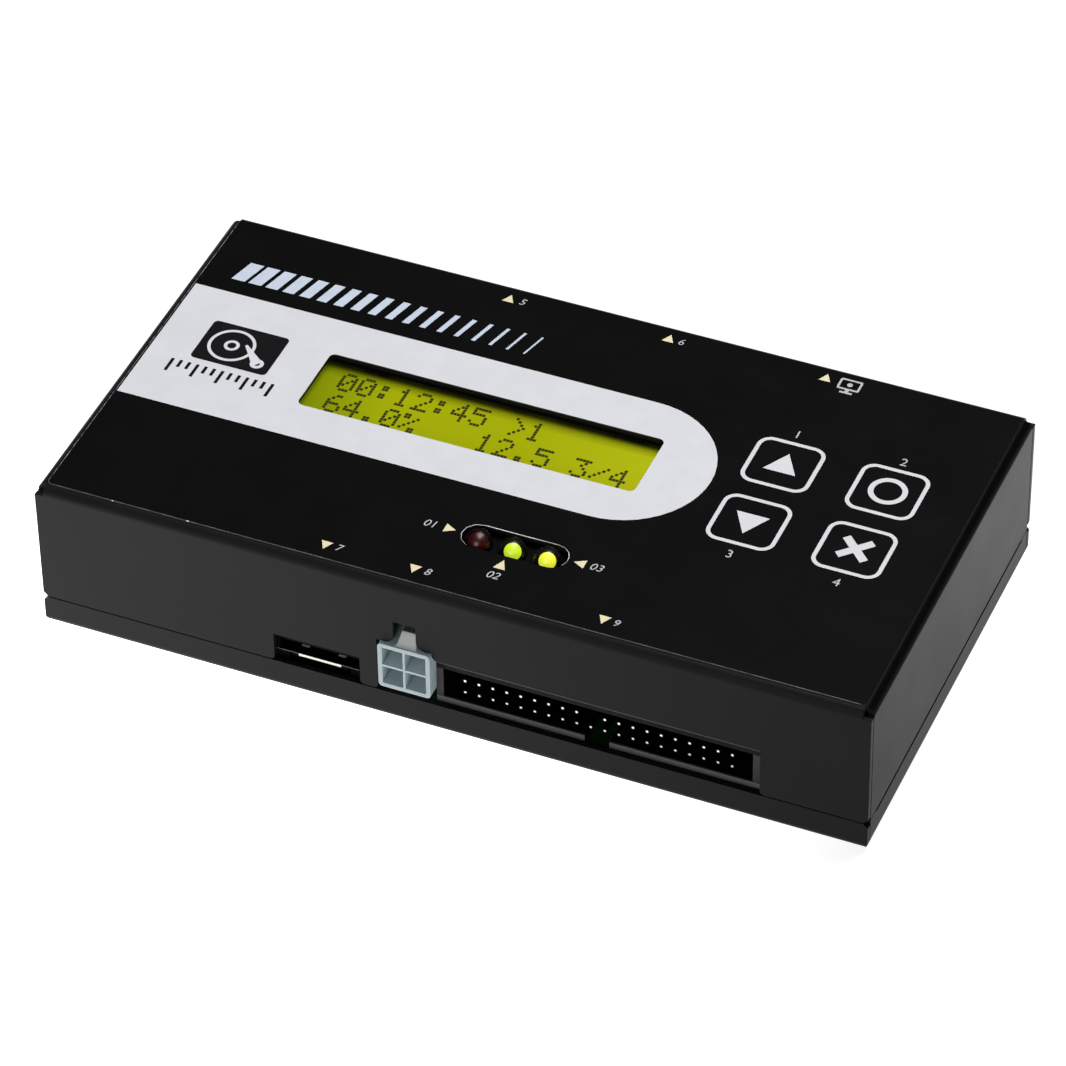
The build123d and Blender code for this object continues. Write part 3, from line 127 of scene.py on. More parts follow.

# Bands of painted light and shade on single parts, in millimetres from their low or high edge
SHROUD_LEDGE, SHROUD_WALL, SHROUD_CREST = (1.2, 1.45), (7.6, 7.75), (8.7, 8.76)
SHROUD_FRONT = (0.1, 0.4)
NYLON_WALL = 0.5
NYLON_RIM, NYLON_REAR, NYLON_LATCH = (0.05, 0.35), (2.25, 2.5), (-2.0, -1.4)
PIN_FLAT, PIN_TIP = (0.15, 0.25), (0.02, 0.06)
GLASS_LEFT, GLASS_RIGHT = (-2, 14), (-24, 0)
GLASS_DIM, GLASS_REAR = (-2.9, 1.4), (-0.95, 0.15)

# Floor, light and camera, in metres and watts
REACH = 3.0
FLOOR_DROP = 0.0002
FLOOR_DIM, FLOOR_BRIGHT, FLOOR_RIGHT = 0.8, 1.95, 0.9
LEAN = -2.0
LEANING_BAND, BEFORE_BAND = (-0.2, 0.13), (-0.04, 0.01)
BESIDE_BAND, BEHIND_BAND = (0.07, 0.08), (-0.02, 0.05)
WORLD_STRENGTH = 0.03
CAMERA_PLACE = (0.295848, -0.683431, 0.664494)
CAMERA_RIGHT = (0.92157, 0.387995, -0.012997)
CAMERA_DOWN = (0.246651, -0.611046, -0.752187)
CAMERA_FORWARD = (-0.299787, 0.689987, -0.658821)

# Pins of the wide drive header, in millimetres
PIN_PITCH, PIN_SIZE = 2.54, 0.64
PIN_TOP_ROW = 11.02
PIN_PLACES = 40

# Display characters, in millimetres on the glass
DOT_WIDTH, DOT_DEPTH = 0.55, 0.63
DOT_PITCH_X, DOT_PITCH_Y = 0.60, 0.70
CHAR_PITCH, ROW_PITCH = 3.55, 5.95
FIRST_DOT_X, FIRST_DOT_Y = -40.2, 9.3
DOT_RISE = 0.01
DISPLAY_ROWS = ("00:12:45 >1", "64.0%   12.5 3/4")
GLYPHS = {
    "0": ("01110", "10001", "10011", "10101", "11001", "10001", "01110"),
    "1": ("00100", "01100", "00100", "00100", "00100", "00100", "01110"),
    "2": ("01110", "10001", "00001", "00010", "00100", "01000", "11111"),
    "3": ("11111", "00010", "00100", "00010", "00001", "10001", "01110"),
    "4": ("00010", "00110", "01010", "10010", "11111", "00010", "00010"),
    "5": ("11111", "10000", "11110", "00001", "00001", "10001", "01110"),
    "6": ("00110", "01000", "10000", "11110", "10001", "10001", "01110"),
    ":": ("00000", "01100", "01100", "00000", "01100", "01100", "00000"),
    ".": ("00000", "00000", "00000", "00000", "00000", "01100", "01100"),
    "%": ("11000", "11001", "00010", "00100", "01000", "10011", "00011"),
    "/": ("00000", "00001", "00010", "00100", "01000", "10000", "00000"),
    ">": ("01000", "00100", "00010", "00001", "00010", "00100", "01000"),
    " ": ("00000",) * 7,
}


def linear(level):
    """A screen value from 0 to 255 as the light it stands for."""
    share = level / 255
    return share / 12.92 if share <= 0.04045 else ((share + 0.055) / 1.055) ** 2.4


def colour(red, green, blue):
    return (linear(red), linear(green), linear(blue), 1.0)


class Shader:
    """A node material with one surface shader and the noise that varies it."""

    def __init__(self, name):
        self.material = bpy.data.materials.new(name)
        self.material.use_nodes = True
        self.tree = self.material.node_tree
        self.surface = self.tree.nodes["Principled BSDF"]
        self.place = self.tree.nodes.new("ShaderNodeTexCoord").outputs["Object"]

    def node(self, kind, **values):
        made = self.tree.nodes.new(kind)
        for key, value in values.items():
            setattr(made, key, value)
        return made

    def link(self, start, end):
        self.tree.links.new(start, end)

    def set(self, **values):
        for key, value in values.items():
            self.surface.inputs[key.replace("_", " ")].default_value = value

    def noise(self, size_mm, detail=3.0):
        made = self.node("ShaderNodeTexNoise")
        made.inputs["Scale"].default_value = 1 / (size_mm * MM)
        made.inputs["Detail"].default_value = detail
        self.link(self.place, made.inputs["Vector"])
        return made.outputs["Fac"]

    def range(self, source, low, high, start=0.35, end=0.65):
        made = self.node("ShaderNodeMapRange")
        made.inputs["From Min"].default_value = start
        made.inputs["From Max"].default_value = end
        made.inputs["To Min"].default_value = low
        made.inputs["To Max"].default_value = high
        self.link(source, made.inputs["Value"])
        return made.outputs["Result"]

    def rise(self, source, edge, band):
        """Zero to one between two places, in millimetres from an edge."""
        return self.range(source, 0.0, 1.0, edge + band[0] * MM, edge + band[1] * MM)

    def fall(self, source, edge, band):
        """One to zero between two places, in millimetres from an edge."""
        return self.range(source, 1.0, 0.0, edge + band[0] * MM, edge + band[1] * MM)

    def base(self):
        """The link that feeds the base colour."""
        return self.surface.inputs["Base Color"].links[0].from_socket

    def place_parts(self):
        """The X, Y and Z of the object's own coordinates."""
        parts = self.node("ShaderNodeSeparateXYZ")
        self.link(self.place, parts.inputs["Vector"])
        return parts.outputs["X"], parts.outputs["Y"], parts.outputs["Z"]

    def normal_parts(self):
        """The X, Y and Z of the direction that the surface faces."""
        parts = self.node("ShaderNodeSeparateXYZ")
        self.link(self.node("ShaderNodeNewGeometry").outputs["Normal"], parts.inputs["Vector"])
        return parts.outputs["X"], parts.outputs["Y"], parts.outputs["Z"]

    def calc(self, operation, *values):
        """One step of arithmetic; each value is a link or a number."""
        made = self.node("ShaderNodeMath", operation=operation)
        for socket, value in zip(made.inputs, values):
            if isinstance(value, (int, float)):
                socket.default_value = value
            else:
                self.link(value, socket)
        return made.outputs["Value"]

    def blend(self, factor, first, second):
        """Mix two colours, or a colour and a link, by a factor."""
        made = self.node("ShaderNodeMix", data_type="RGBA")
        self.link(factor, made.inputs["Factor"])
        sockets = [socket for socket in made.inputs if socket.type == "RGBA"]
        for socket, value in zip(sockets, (first, second)):
            if isinstance(value, tuple):
                socket.default_value = value
            else:
                self.link(value, socket)
        return next(socket for socket in made.outputs if socket.type == "RGBA")

    def bump(self, height, depth_mm):
        made = self.node("ShaderNodeBump")
        made.inputs["Distance"].default_value = depth_mm * MM
        self.link(height, made.inputs["Height"])
        self.link(made.outputs["Normal"], self.surface.inputs["Normal"])


def plain_material(
    name,
    tone,
    roughness=0.5,
    metallic=0.0,
    vary=0.12,
    patch_mm=6.0,
    grain_mm=0.25,
    grain_depth=0.01,
    gloss=0.5,
    mottle=0.05,
):
    """Moulded, painted or metal surface: a mottled tone, mottled gloss and fine grain."""
    s = Shader(name)
    s.set(Metallic=metallic, Specular_IOR_Level=gloss)
    darker = tuple(c * (1 - vary) for c in tone[:3]) + (1.0,)
    lighter = tuple(min(1.0, c * (1 + vary)) for c in tone[:3]) + (1.0,)
    patches = s.noise(patch_mm)
    s.link(s.blend(s.range(patches, 0, 1), darker, lighter), s.surface.inputs["Base Color"])
    rough = s.range(s.noise(patch_mm / 2), roughness - mottle, roughness + mottle)
    s.link(rough, s.surface.inputs["Roughness"])
    s.bump(s.noise(grain_mm, 2.0), grain_depth)
    return s


def side_mask(s):
    """One where a surface stands upright, zero where it lies flat."""
    _, _, upward = s.normal_parts()
    return s.range(s.calc("ABSOLUTE", upward), 1.0, 0.0, 0.4, 0.6)


def right_fold_shade_mask(s):
    """One on the fold between the top and the right side, where the paint gets painted shade; zero on
    the flat faces.
    """
    rightward, _, upward = s.normal_parts()
    return s.range(s.calc("MULTIPLY", rightward, upward), 0.0, 1.0, 0.02, 0.2)


# Materials
PAINT_GLOSS, FOLD_GLOSS = 0.07, 0.01
case_paint = plain_material(
    "case_paint", colour(25, 25, 26), 0.46, vary=0.06, patch_mm=18.0,
    grain_mm=0.35, grain_depth=0.004, gloss=PAINT_GLOSS, mottle=0.012,
)
# Painted shade: the fold between the top and the right side is painted near black and made less glossy.
right_fold_shade = right_fold_shade_mask(case_paint)
case_paint.link(
    case_paint.blend(right_fold_shade, case_paint.base(), colour(7, 7, 7)),
    case_paint.surface.inputs["Base Color"],
)
case_paint.link(
    case_paint.range(right_fold_shade, PAINT_GLOSS, FOLD_GLOSS, 0.0, 1.0),
    case_paint.surface.inputs["Specular IOR Level"],
)
overlay = plain_material(
    "overlay_film", colour(14, 14, 14), 0.27, vary=0.10, patch_mm=14.0,
    grain_mm=0.16, grain_depth=0.002, gloss=0.1, mottle=0.008,
)
overlay.link(
    overlay.blend(side_mask(overlay), overlay.base(), colour(60, 61, 63)),
    overlay.surface.inputs["Base Color"],
)
white_ink = plain_material(
    "white_ink", colour(222, 223, 228), 0.45, vary=0.02, patch_mm=5.0,
    grain_mm=0.16, grain_depth=0.003, gloss=0.25,
)
title_ink = plain_material(
    "title_ink", colour(206, 216, 232), 0.45, vary=0.03, patch_mm=3.0,
    grain_mm=0.16, grain_depth=0.003, gloss=0.25,
)
grey_ink = plain_material(
    "grey_ink", colour(196, 196, 200), 0.45, vary=0.03, patch_mm=3.0,
    grain_mm=0.16, grain_depth=0.003, gloss=0.25,
)
cream_ink = plain_material(
    "cream_ink", colour(240, 228, 188), 0.45, vary=0.03, patch_mm=2.0,
    grain_mm=0.16, grain_depth=0.003, gloss=0.25,
)
black_ink = plain_material(
    "black_ink", colour(22, 22, 24), 0.5, vary=0.05, patch_mm=3.0,
    grain_mm=0.16, grain_depth=0.003, gloss=0.06,
)
# Cut edges: pale as cut film is, in three tones of painted highlight: bright at the slot, dull at the
# front, broken at the left.
cut_edge_highlight = plain_material(
    "cut_edge_highlight", colour(236, 238, 242), 0.3, vary=0.25, patch_mm=1.1, grain_mm=0.1, grain_depth=0.01,
)
film_edge_highlight = plain_material(
    "film_edge_highlight", colour(104, 105, 108), 0.35, vary=0.4, patch_mm=2.2, grain_mm=0.1, grain_depth=0.01,
)
left_edge_highlight = plain_material(
    "left_edge_highlight", colour(128, 129, 132), 0.35, vary=0.8, patch_mm=0.9, grain_mm=0.1, grain_depth=0.01,
)
black_plastic = plain_material("black_plastic", colour(12, 12, 13), 0.5, grain_mm=0.2, gloss=0.2)
socket_plastic = plain_material("socket_plastic", colour(3, 3, 3), 0.6, grain_mm=0.2, gloss=0.03)
holder_plastic = plain_material("holder_plastic", colour(4, 4, 5), 0.6, grain_mm=0.2, gloss=0.05)
# Painted highlight: grey for the strips where the data plug's black front edges catch light.
edge_highlight_grey = plain_material(
    "edge_highlight_grey", colour(70, 70, 72), 0.35, vary=0.15, patch_mm=0.8, grain_mm=0.1,
)
stem_plastic = plain_material("stem_plastic", colour(60, 60, 62), 0.45)
white_plastic = plain_material("white_plastic", colour(225, 225, 220), 0.5)
ivory_plastic = plain_material(
    "ivory_plastic", colour(244, 240, 224), 0.4, vary=0.04, patch_mm=1.5,
    grain_mm=0.1, grain_depth=0.004,
)
bezel_black = plain_material("bezel_black", colour(6, 6, 6), 0.4, gloss=0.15)
contact_metal = plain_material(
    "contact_metal", colour(232, 214, 168), 0.25, 1.0, vary=0.06, patch_mm=0.8, grain_depth=0.002,
)
tab_metal = plain_material(
    "tab_metal", colour(196, 196, 190), 0.45, 0.3, vary=0.2, patch_mm=0.5,
    grain_mm=0.1, grain_depth=0.003,
)
tinned_metal = plain_material(
    "tinned_metal", colour(205, 205, 202), 0.35, 1.0, vary=0.08, patch_mm=0.8, grain_depth=0.002,
)
plated_steel = plain_material(
    "plated_steel", colour(196, 196, 192), 0.32, 1.0, vary=0.06, patch_mm=2.0, grain_depth=0.003,
)
screw_black = plain_material("screw_black", colour(36, 36, 37), 0.35, 1.0, vary=0.1, patch_mm=1.0)
board_green = plain_material("board_green", colour(8, 40, 18), 0.35, vary=0.12, patch_mm=2.0)
ferrite = plain_material("ferrite", colour(62, 60, 58), 0.6)
can_aluminium = plain_material("can_aluminium", colour(190, 192, 194), 0.4, 0.9)
light_guide = plain_material("light_guide", colour(230, 232, 170), 0.4)

# Clear window film: mostly see-through, with the shine of its face
window_clear = plain_material(
    "window_clear", colour(20, 20, 20), 0.12, vary=0.02,
    grain_mm=0.5, grain_depth=0.001, gloss=0.3,
)
window_clear.set(Alpha=0.05)


def shroud_material():
    """Black box header with painted light on its front rim: lighter along the bottom, duller at its
    ends, black at the top wall as painted shade with a painted highlight line along the crest, black
    inside.
    """
    s = plain_material(
        "shroud_plastic", colour(5, 5, 5), 0.55, vary=0.10, patch_mm=3.0, grain_mm=0.2, gloss=0.1,
    )
    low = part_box("ide_shroud")[0]
    _, depth, level = s.place_parts()
    # Painted light and shade by height on the front rim: bottom ledge lightest, sides grey, top wall
    # black, a highlight line on the crest.
    ledge = s.fall(level, low.z, SHROUD_LEDGE)
    rim = s.blend(ledge, colour(62, 60, 59), colour(122, 121, 120))
    wall = s.rise(level, low.z, SHROUD_WALL)
    rim = s.blend(wall, rim, colour(5, 5, 5))
    crest = s.rise(level, low.z, SHROUD_CREST)
    rim = s.blend(crest, rim, colour(80, 79, 78))
    front = s.fall(depth, low.y, SHROUD_FRONT)
    s.link(s.blend(front, s.base(), rim), s.surface.inputs["Base Color"])
    return s


def nylon_material():
    """Pale nylon that lets light in, with painted shade: darker inside the cells and at its front rim;
    the latch painted palest at its front and dark behind.
    """
    s = plain_material(
        "clear_nylon", colour(186, 203, 208), 0.38, vary=0.06, patch_mm=3.0,
        grain_mm=0.3, grain_depth=0.004,
    )
    s.set(Subsurface_Weight=0.35, Subsurface_Scale=0.0015, Subsurface_Radius=(1.0, 1.05, 1.1))
    low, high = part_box("drive_power_housing")
    across, depth, level = s.place_parts()
    # Painted shade inside the cells and on the front rim; painted highlight on the front of the latch,
    # painted shade behind it.
    cells = s.calc("COMPARE", across, (low.x + high.x) / 2, (high.x - low.x) / 2 - NYLON_WALL * MM)
    body = s.blend(cells, s.base(), colour(171, 187, 191))
    rim = s.fall(depth, low.y, NYLON_RIM)
    body = s.blend(rim, body, colour(150, 162, 167))
    rear = s.rise(depth, low.y, NYLON_REAR)
    ramp = s.blend(rear, colour(216, 219, 216), colour(88, 92, 84))
    latch = s.rise(level, high.z, NYLON_LATCH)
    s.link(s.blend(latch, body, ramp), s.surface.inputs["Base Color"])
    return s


def pin_metal_material():
    """Gilt pins with swaged ends, in painted light: the flat of each tip painted bright as a highlight,
    its slopes and shaft painted dark as shade.
    """
    s = Shader("pin_metal")
    s.set(Metallic=1.0, Roughness=0.35)
    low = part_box("ide_header_pins")[0]
    across, depth, level = s.place_parts()
    offsets = s.node("ShaderNodeCombineXYZ")
    first_column, top_row = low.x + PIN_SIZE / 2 * MM, PIN_TOP_ROW * MM
    for axis, place, first in (("X", across, first_column), ("Y", level, top_row)):
        start = s.calc("SUBTRACT", place, first - PIN_PLACES * PIN_PITCH * MM)
        s.link(s.calc("PINGPONG", start, PIN_PITCH / 2 * MM), offsets.inputs[axis])
    reach = s.node("ShaderNodeVectorMath", operation="LENGTH")
    s.link(offsets.outputs["Vector"], reach.inputs[0])
    flat = s.fall(reach.outputs["Value"], 0.0, PIN_FLAT)
    front = s.fall(depth, low.y, PIN_TIP)
    # Painted highlight on each tip's flat, painted shade on the rest.
    tone = s.blend(s.calc("MULTIPLY", flat, front), colour(46, 40, 26), colour(252, 250, 244))
    s.link(tone, s.surface.inputs["Base Color"])
    s.bump(s.noise(0.2, 2.0), 0.001)
    return s


def display_glass_material():
    """Lit yellow-green field with painted shadow of the window's edges: darker towards the rear and the
    left, lighter at the right, with a faint ripple.
    """
    s = Shader("display_glass")
    s.set(Specular_IOR_Level=0.3, Roughness=0.25)
    low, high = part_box("display_window")
    across, depth, _ = s.place_parts()
    left = s.rise(across, low.x, GLASS_LEFT)
    field = s.blend(left, colour(118, 132, 0), colour(158, 166, 0))
    right = s.rise(across, high.x, GLASS_RIGHT)
    field = s.blend(right, field, colour(172, 178, 8))
    # Painted shadow of the window's rear edge, near black at the rear.
    rear_shadow = s.rise(depth, high.y, GLASS_DIM)
    field = s.blend(rear_shadow, field, colour(3, 3, 0))
    rear = s.rise(depth, high.y, GLASS_REAR)
    field = s.blend(rear, field, colour(3, 3, 0))
    ripple = s.range(s.noise(9.0), 0.0, 0.08)
    field = s.blend(ripple, field, colour(150, 158, 10))
    s.link(field, s.surface.inputs["Base Color"])
    s.link(field, s.surface.inputs["Emission Color"])
    s.set(Emission_Strength=0.35)
    return s


def lens_material(name, tint):
    """Epoxy lens: see-through, tinted, and shiny all over its dome."""
    s = plain_material(
        name, tint, 0.3, vary=0.08, patch_mm=1.0, grain_mm=0.5, grain_depth=0.0005, gloss=0.7,
    )
    s.set(Alpha=0.3, Coat_Weight=0.6, Coat_Roughness=0.28, Coat_IOR=1.8)
    return s


def glowing_material(name, tone, strength):
    """Lit chip cup inside a lens: one glowing tone with a faint mottle."""
    s = plain_material(name, tone, 0.4, vary=0.04, patch_mm=0.6, grain_depth=0.001)
    s.link(s.base(), s.surface.inputs["Emission Color"])
    s.set(Emission_Strength=strength)
    return s


shroud_plastic = shroud_material()
nylon = nylon_material()
pin_metal = pin_metal_material()
display_glass = display_glass_material()
display_ink = plain_material(
    "display_ink", colour(54, 56, 8), 0.5, vary=0.12, patch_mm=0.8, gloss=0.1,
)
lens_red = lens_material("lens_red", colour(30, 4, 7))
lens_green = lens_material("lens_green", colour(20, 24, 18))
lens_yellow = lens_material("lens_yellow", colour(24, 22, 20))
glow_green = glowing_material("glow_green", colour(196, 226, 48), 1.15)
glow_yellow = glowing_material("glow_yellow", colour(232, 234, 60), 1.15)
# The fault lamp is off: its red cup's faint glow is painted light.
red_cup_painted_glow = glowing_material("red_cup_painted_glow", colour(60, 2, 6), 0.45)

# Which solid has which material
finishes = {
    case_paint: ["top_cover", "bottom_tray"],
    overlay: ["panel_overlay", "key_up_pad", "key_down_pad", "key_ok_pad", "key_esc_pad"],
    window_clear: ["display_window"],
    stem_plastic: ["key_up_stem", "key_down_stem", "key_ok_stem", "key_esc_stem"],
    black_plastic: [
        "key_switch_bodies", "link_strips", "link_sockets", "jack_body", "switch_body",
        "rocker_button", "controller_chip", "memory_chips", "sounder", "display_driver_caps",
    ],
    shroud_plastic: ["ide_shroud"],
    socket_plastic: ["sata_housing"],
    holder_plastic: ["lamp_holder"],
    board_green: ["main_board", "panel_board", "display_board"],
    lens_red: ["lamp_fault"],
    lens_green: ["lamp_working"],
    lens_yellow: ["lamp_powered"],
    pin_metal: ["ide_header_pins"],
    contact_metal: ["sata_contacts", "usb_contacts", "drive_power_pins", "jack_pin", "link_pins"],
    tinned_metal: ["lamp_leads", "jack_terminals", "switch_terminals", "controller_leads"],
    tab_metal: ["sata_ground_tabs"],
    plated_steel: [
        "cover_posts", "board_spacers", "board_screws", "panel_posts", "panel_screws", "crystal_can",
        "usb_shell",
    ],
    screw_black: ["case_screws"],
    bezel_black: ["display_bezel"],
    display_glass: ["display_glass"],
    light_guide: ["display_backlight"],
    nylon: ["drive_power_housing"],
    ivory_plastic: ["sata_insert"],
    white_plastic: ["usb_insert"],
    ferrite: ["power_coils"],
    can_aluminium: ["capacitors"],
}
for shader, names in finishes.items():
    for name in names:
        slots = nodes[name].data.materials
        slots.clear()
        slots.append(shader.material)
dressed = {name for names in finishes.values() for name in names}
assert dressed == set(nodes), dressed ^ set(nodes)


def place_mesh(name, mesh, shader, body):
    """Make a mesh a piece of the scene that rides on a body."""
    mesh.materials.append(shader.material)
    piece = bpy.data.objects.new(name, mesh)
    bpy.context.scene.collection.objects.link(piece)
    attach(piece, body)


def add_piece(name, verts, faces, shader, body, smooth=False):
    """Build a new mesh piece, in millimetres, that rides on a body."""
    mesh = bpy.data.meshes.new(name)
    mesh.from_pydata([Vector(v) * MM for v in verts], [], faces)
    shape = bmesh.new()
    shape.from_mesh(mesh)
    bmesh.ops.recalc_face_normals(shape, faces=shape.faces)
    shape.to_mesh(mesh)
    shape.free()
    for face in mesh.polygons:
        face.use_smooth = smooth
    place_mesh(name, mesh, shader, body)


def thicken(shape):
    """Give flat faces the thickness of the print, downwards."""
    lifted = bmesh.ops.extrude_face_region(shape, geom=list(shape.faces))
    moved = [v for v in lifted["geom"] if isinstance(v, bmesh.types.BMVert)]
    bmesh.ops.translate(shape, verts=moved, vec=(0, 0, -PRINT_RISE * MM))
    bmesh.ops.recalc_face_normals(shape, faces=shape.faces)


def prisms(name, loops, low, high, shader, body="case"):
    """Flat raised areas: each loop is the outline of one."""
    verts, faces = [], []
    for loop in loops:
        start, n = len(verts), len(loop)
        verts += [(x, y, low) for x, y in loop] + [(x, y, high) for x, y in loop]
        faces.append(tuple(start + i for i in range(n)))
        faces.append(tuple(start + n + i for i in range(n)))
        for i in range(n):
            j = (i + 1) % n
            faces.append((start + i, start + j, start + n + j, start + n + i))
    add_piece(name, verts, faces, shader, body)


def rings(name, pairs, low, high, shader, body="case"):
    """Raised bands, each between an outer and an inner loop with as many points."""
    verts, faces = [], []
    for outer, inner in pairs:
        start, n = len(verts), len(outer)
        for z in (low, high):
            for loop in (outer, inner):
                verts += [(x, y, z) for x, y in loop]
        for i in range(n):
            j = (i + 1) % n
            for a, b in ((0, n), (n, 3 * n), (3 * n, 2 * n), (2 * n, 0)):
                faces.append((start + a + i, start + a + j, start + b + j, start + b + i))
    add_piece(name, verts, faces, shader, body)


def rounded(x, y, width, depth, radius, steps=8):
    """Outline of a rectangle with round corners."""
    points = []
    for turn, side_x, side_y in ((0, 1, 1), (90, -1, 1), (180, -1, -1), (270, 1, -1)):
        cx, cy = x + side_x * (width / 2 - radius), y + side_y * (depth / 2 - radius)
        for i in range(steps + 1):
            angle = math.radians(turn + 90 * i / steps)
            points.append((cx + radius * math.cos(angle), cy + radius * math.sin(angle)))
    return points


def corners(left, front, right, rear):
    """Outline of a plain rectangle."""
    return [(left, front), (right, front), (right, rear), (left, rear)]


def circle(x, y, radius, count=48):
    """Outline of a circle with as many facets as the count."""
    turns = [2 * math.pi * i / count for i in range(count)]
    return [(x + radius * math.cos(t), y + radius * math.sin(t)) for t in turns]


def lathe(name, profile, centre, shader, body):
    """Round piece from a profile of radius and height, about an upright axis."""
    count = CUP_FACETS
    verts, faces = [], []
    for radius, height in profile:
        for i in range(count):
            t = 2 * math.pi * i / count
            x, y = centre[0] + radius * math.cos(t), centre[1] + radius * math.sin(t)
            verts.append((x, y, centre[2] + height))
    for k in range(len(profile) - 1):
        for i in range(count):
            j = (i + 1) % count
            faces.append((k * count + i, k * count + j, (k + 1) * count + j, (k + 1) * count + i))
    faces.append(tuple(range(count)))
    faces.append(tuple((len(profile) - 1) * count + i for i in range(count)))
    add_piece(name, verts, faces, shader, body, smooth=True)


# Printed panel
film_low, film_high = (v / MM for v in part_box("panel_overlay"))
window_low, window_high = (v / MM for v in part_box("display_window"))
TOP = film_high.z
INK = TOP + PRINT_RISE
key_centres = {}
for key in ("up", "down", "ok", "esc"):
    pad_low, pad_high = (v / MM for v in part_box(f"key_{key}_pad"))
    key_centres[key] = ((pad_low.x + pad_high.x) / 2, (pad_low.y + pad_high.y) / 2)


def white_band():
    """White field around the window: square at the left end and round at the right."""
    radius = (BAND_REAR - BAND_FRONT) / 2
    middle = (BAND_REAR + BAND_FRONT) / 2
    end_x = BAND_RIGHT - radius
    wx, wy = (window_low.x + window_high.x) / 2, (window_low.y + window_high.y) / 2
    width, depth = window_high.x - window_low.x, window_high.y - window_low.y
    inner = rounded(wx, wy, width, depth, WINDOW_CORNER)
    outline = [(BAND_LEFT, BAND_FRONT)]
    for i in range(BAND_STEPS + 1):
        angle = math.pi * (i / BAND_STEPS - 0.5)
        outline.append((end_x + radius * math.cos(angle), middle + radius * math.sin(angle)))
    outline.append((BAND_LEFT, BAND_REAR))
    shape = bmesh.new()
    loops = []
    for points in (outline, inner):
        verts = [shape.verts.new((x * MM, y * MM, INK * MM)) for x, y in points]
        loops += [shape.edges.new((verts[i], verts[(i + 1) % len(verts)])) for i in range(len(verts))]
    bmesh.ops.triangle_fill(shape, use_beauty=True, edges=loops)
    thicken(shape)
    mesh = bpy.data.meshes.new("print_band")
    shape.to_mesh(mesh)
    shape.free()
    place_mesh("print_band", mesh, white_ink, "case")


def key_outlines():
    """Outer and inner loop of the line around each key."""
    inside = KEY_RING - 2 * KEY_RING_LINE
    return [
        (
            rounded(x, y, KEY_RING, KEY_RING, KEY_RING_CORNER),
            rounded(x, y, inside, inside, KEY_RING_CORNER - KEY_RING_LINE),
        )
        for x, y in key_centres.values()
    ]


def cross(x, y, reach, width):
    """Outline of a diagonal cross."""
    half = width / 2 * math.sqrt(2)
    slant = width / 2 / math.sqrt(2)
    tip = reach - slant
    quarter = [(half, 0), (tip + slant, tip - slant), (tip - slant, tip + slant)]
    points = []
    for turn in range(4):
        c, s = math.cos(turn * math.pi / 2), math.sin(turn * math.pi / 2)
        points += [(x + px * c - py * s, y + px * s + py * c) for px, py in quarter]
    return points


white_band()
rings("print_key_outlines", key_outlines(), TOP, INK, white_ink)
for key, sign in (("up", UP_SIGN), ("down", DOWN_SIGN)):
    x, y = key_centres[key]
    prisms(f"print_{key}", [[(x + dx, y + dy) for dx, dy in sign]], TOP, INK, white_ink, f"key_{key}")
ok_x, ok_y = key_centres["ok"]
ok_sign = (circle(ok_x, ok_y + OK_SHIFT, OK_OUTER), circle(ok_x, ok_y + OK_SHIFT, OK_INNER))
rings("print_ok", [ok_sign], TOP, INK, white_ink, "key_ok")
esc_x, esc_y = key_centres["esc"]
esc_sign = cross(esc_x + CROSS_SHIFT_X, esc_y + CROSS_SHIFT_Y, CROSS_REACH, CROSS_WIDTH)
prisms("print_esc", [esc_sign], TOP, INK, white_ink, "key_esc")


def fading_bars():
    """Leaning bars that thin out to the right, where the real panel has its heading."""
    shift = math.tan(math.radians(TITLE_LEAN)) * (TITLE_REAR - TITLE_FRONT)
    pitch = (TITLE_RIGHT - TITLE_LEFT - shift - TITLE_THIN) / (TITLE_BARS - 1)
    loops = []
    for i in range(TITLE_BARS):
        x = TITLE_LEFT + i * pitch
        width = TITLE_THICK + (TITLE_THIN - TITLE_THICK) * i / (TITLE_BARS - 1)
        loops.append([
            (x, TITLE_FRONT), (x + width, TITLE_FRONT),
            (x + width + shift, TITLE_REAR), (x + shift, TITLE_REAR),
        ])
    return loops


prisms("print_heading_bars", fading_bars(), TOP, INK, title_ink)


def tile():
    """Dark tile on the band with a plain drawing of a disc and the arm that reads it."""
    low, high = INK, INK + PRINT_RISE
    middle_x, middle_y = (TILE_LEFT + TILE_RIGHT) / 2, (TILE_FRONT + TILE_REAR) / 2
    outline = rounded(middle_x, middle_y, TILE_RIGHT - TILE_LEFT, TILE_REAR - TILE_FRONT, TILE_CORNER)
    prisms("print_tile", [outline], low, high, black_ink)
    cx, cy = middle_x + DISC_SHIFT, middle_y
    disc = [
        (circle(cx, cy, DISC_OUTER), circle(cx, cy, DISC_INNER)),
        (circle(cx, cy, HUB_OUTER), circle(cx, cy, HUB_INNER)),
    ]
    rings("print_disc", disc, high, high + PRINT_RISE, white_ink)
    px, py = cx + PIVOT_X, cy + PIVOT_Y
    arm = [(px + x, py + y) for x, y in ARM_FOOT] + [(cx + x, cy + y) for x, y in ARM_TIP]
    prisms("print_arm", [arm], high + PRINT_RISE, high + 2 * PRINT_RISE, white_ink)
    pivot = (circle(px, py, PIVOT_OUTER, PIVOT_FACETS), circle(px, py, PIVOT_INNER, PIVOT_FACETS))
    rings("print_pivot", [pivot], high + 2 * PRINT_RISE, high + 3 * PRINT_RISE, white_ink)


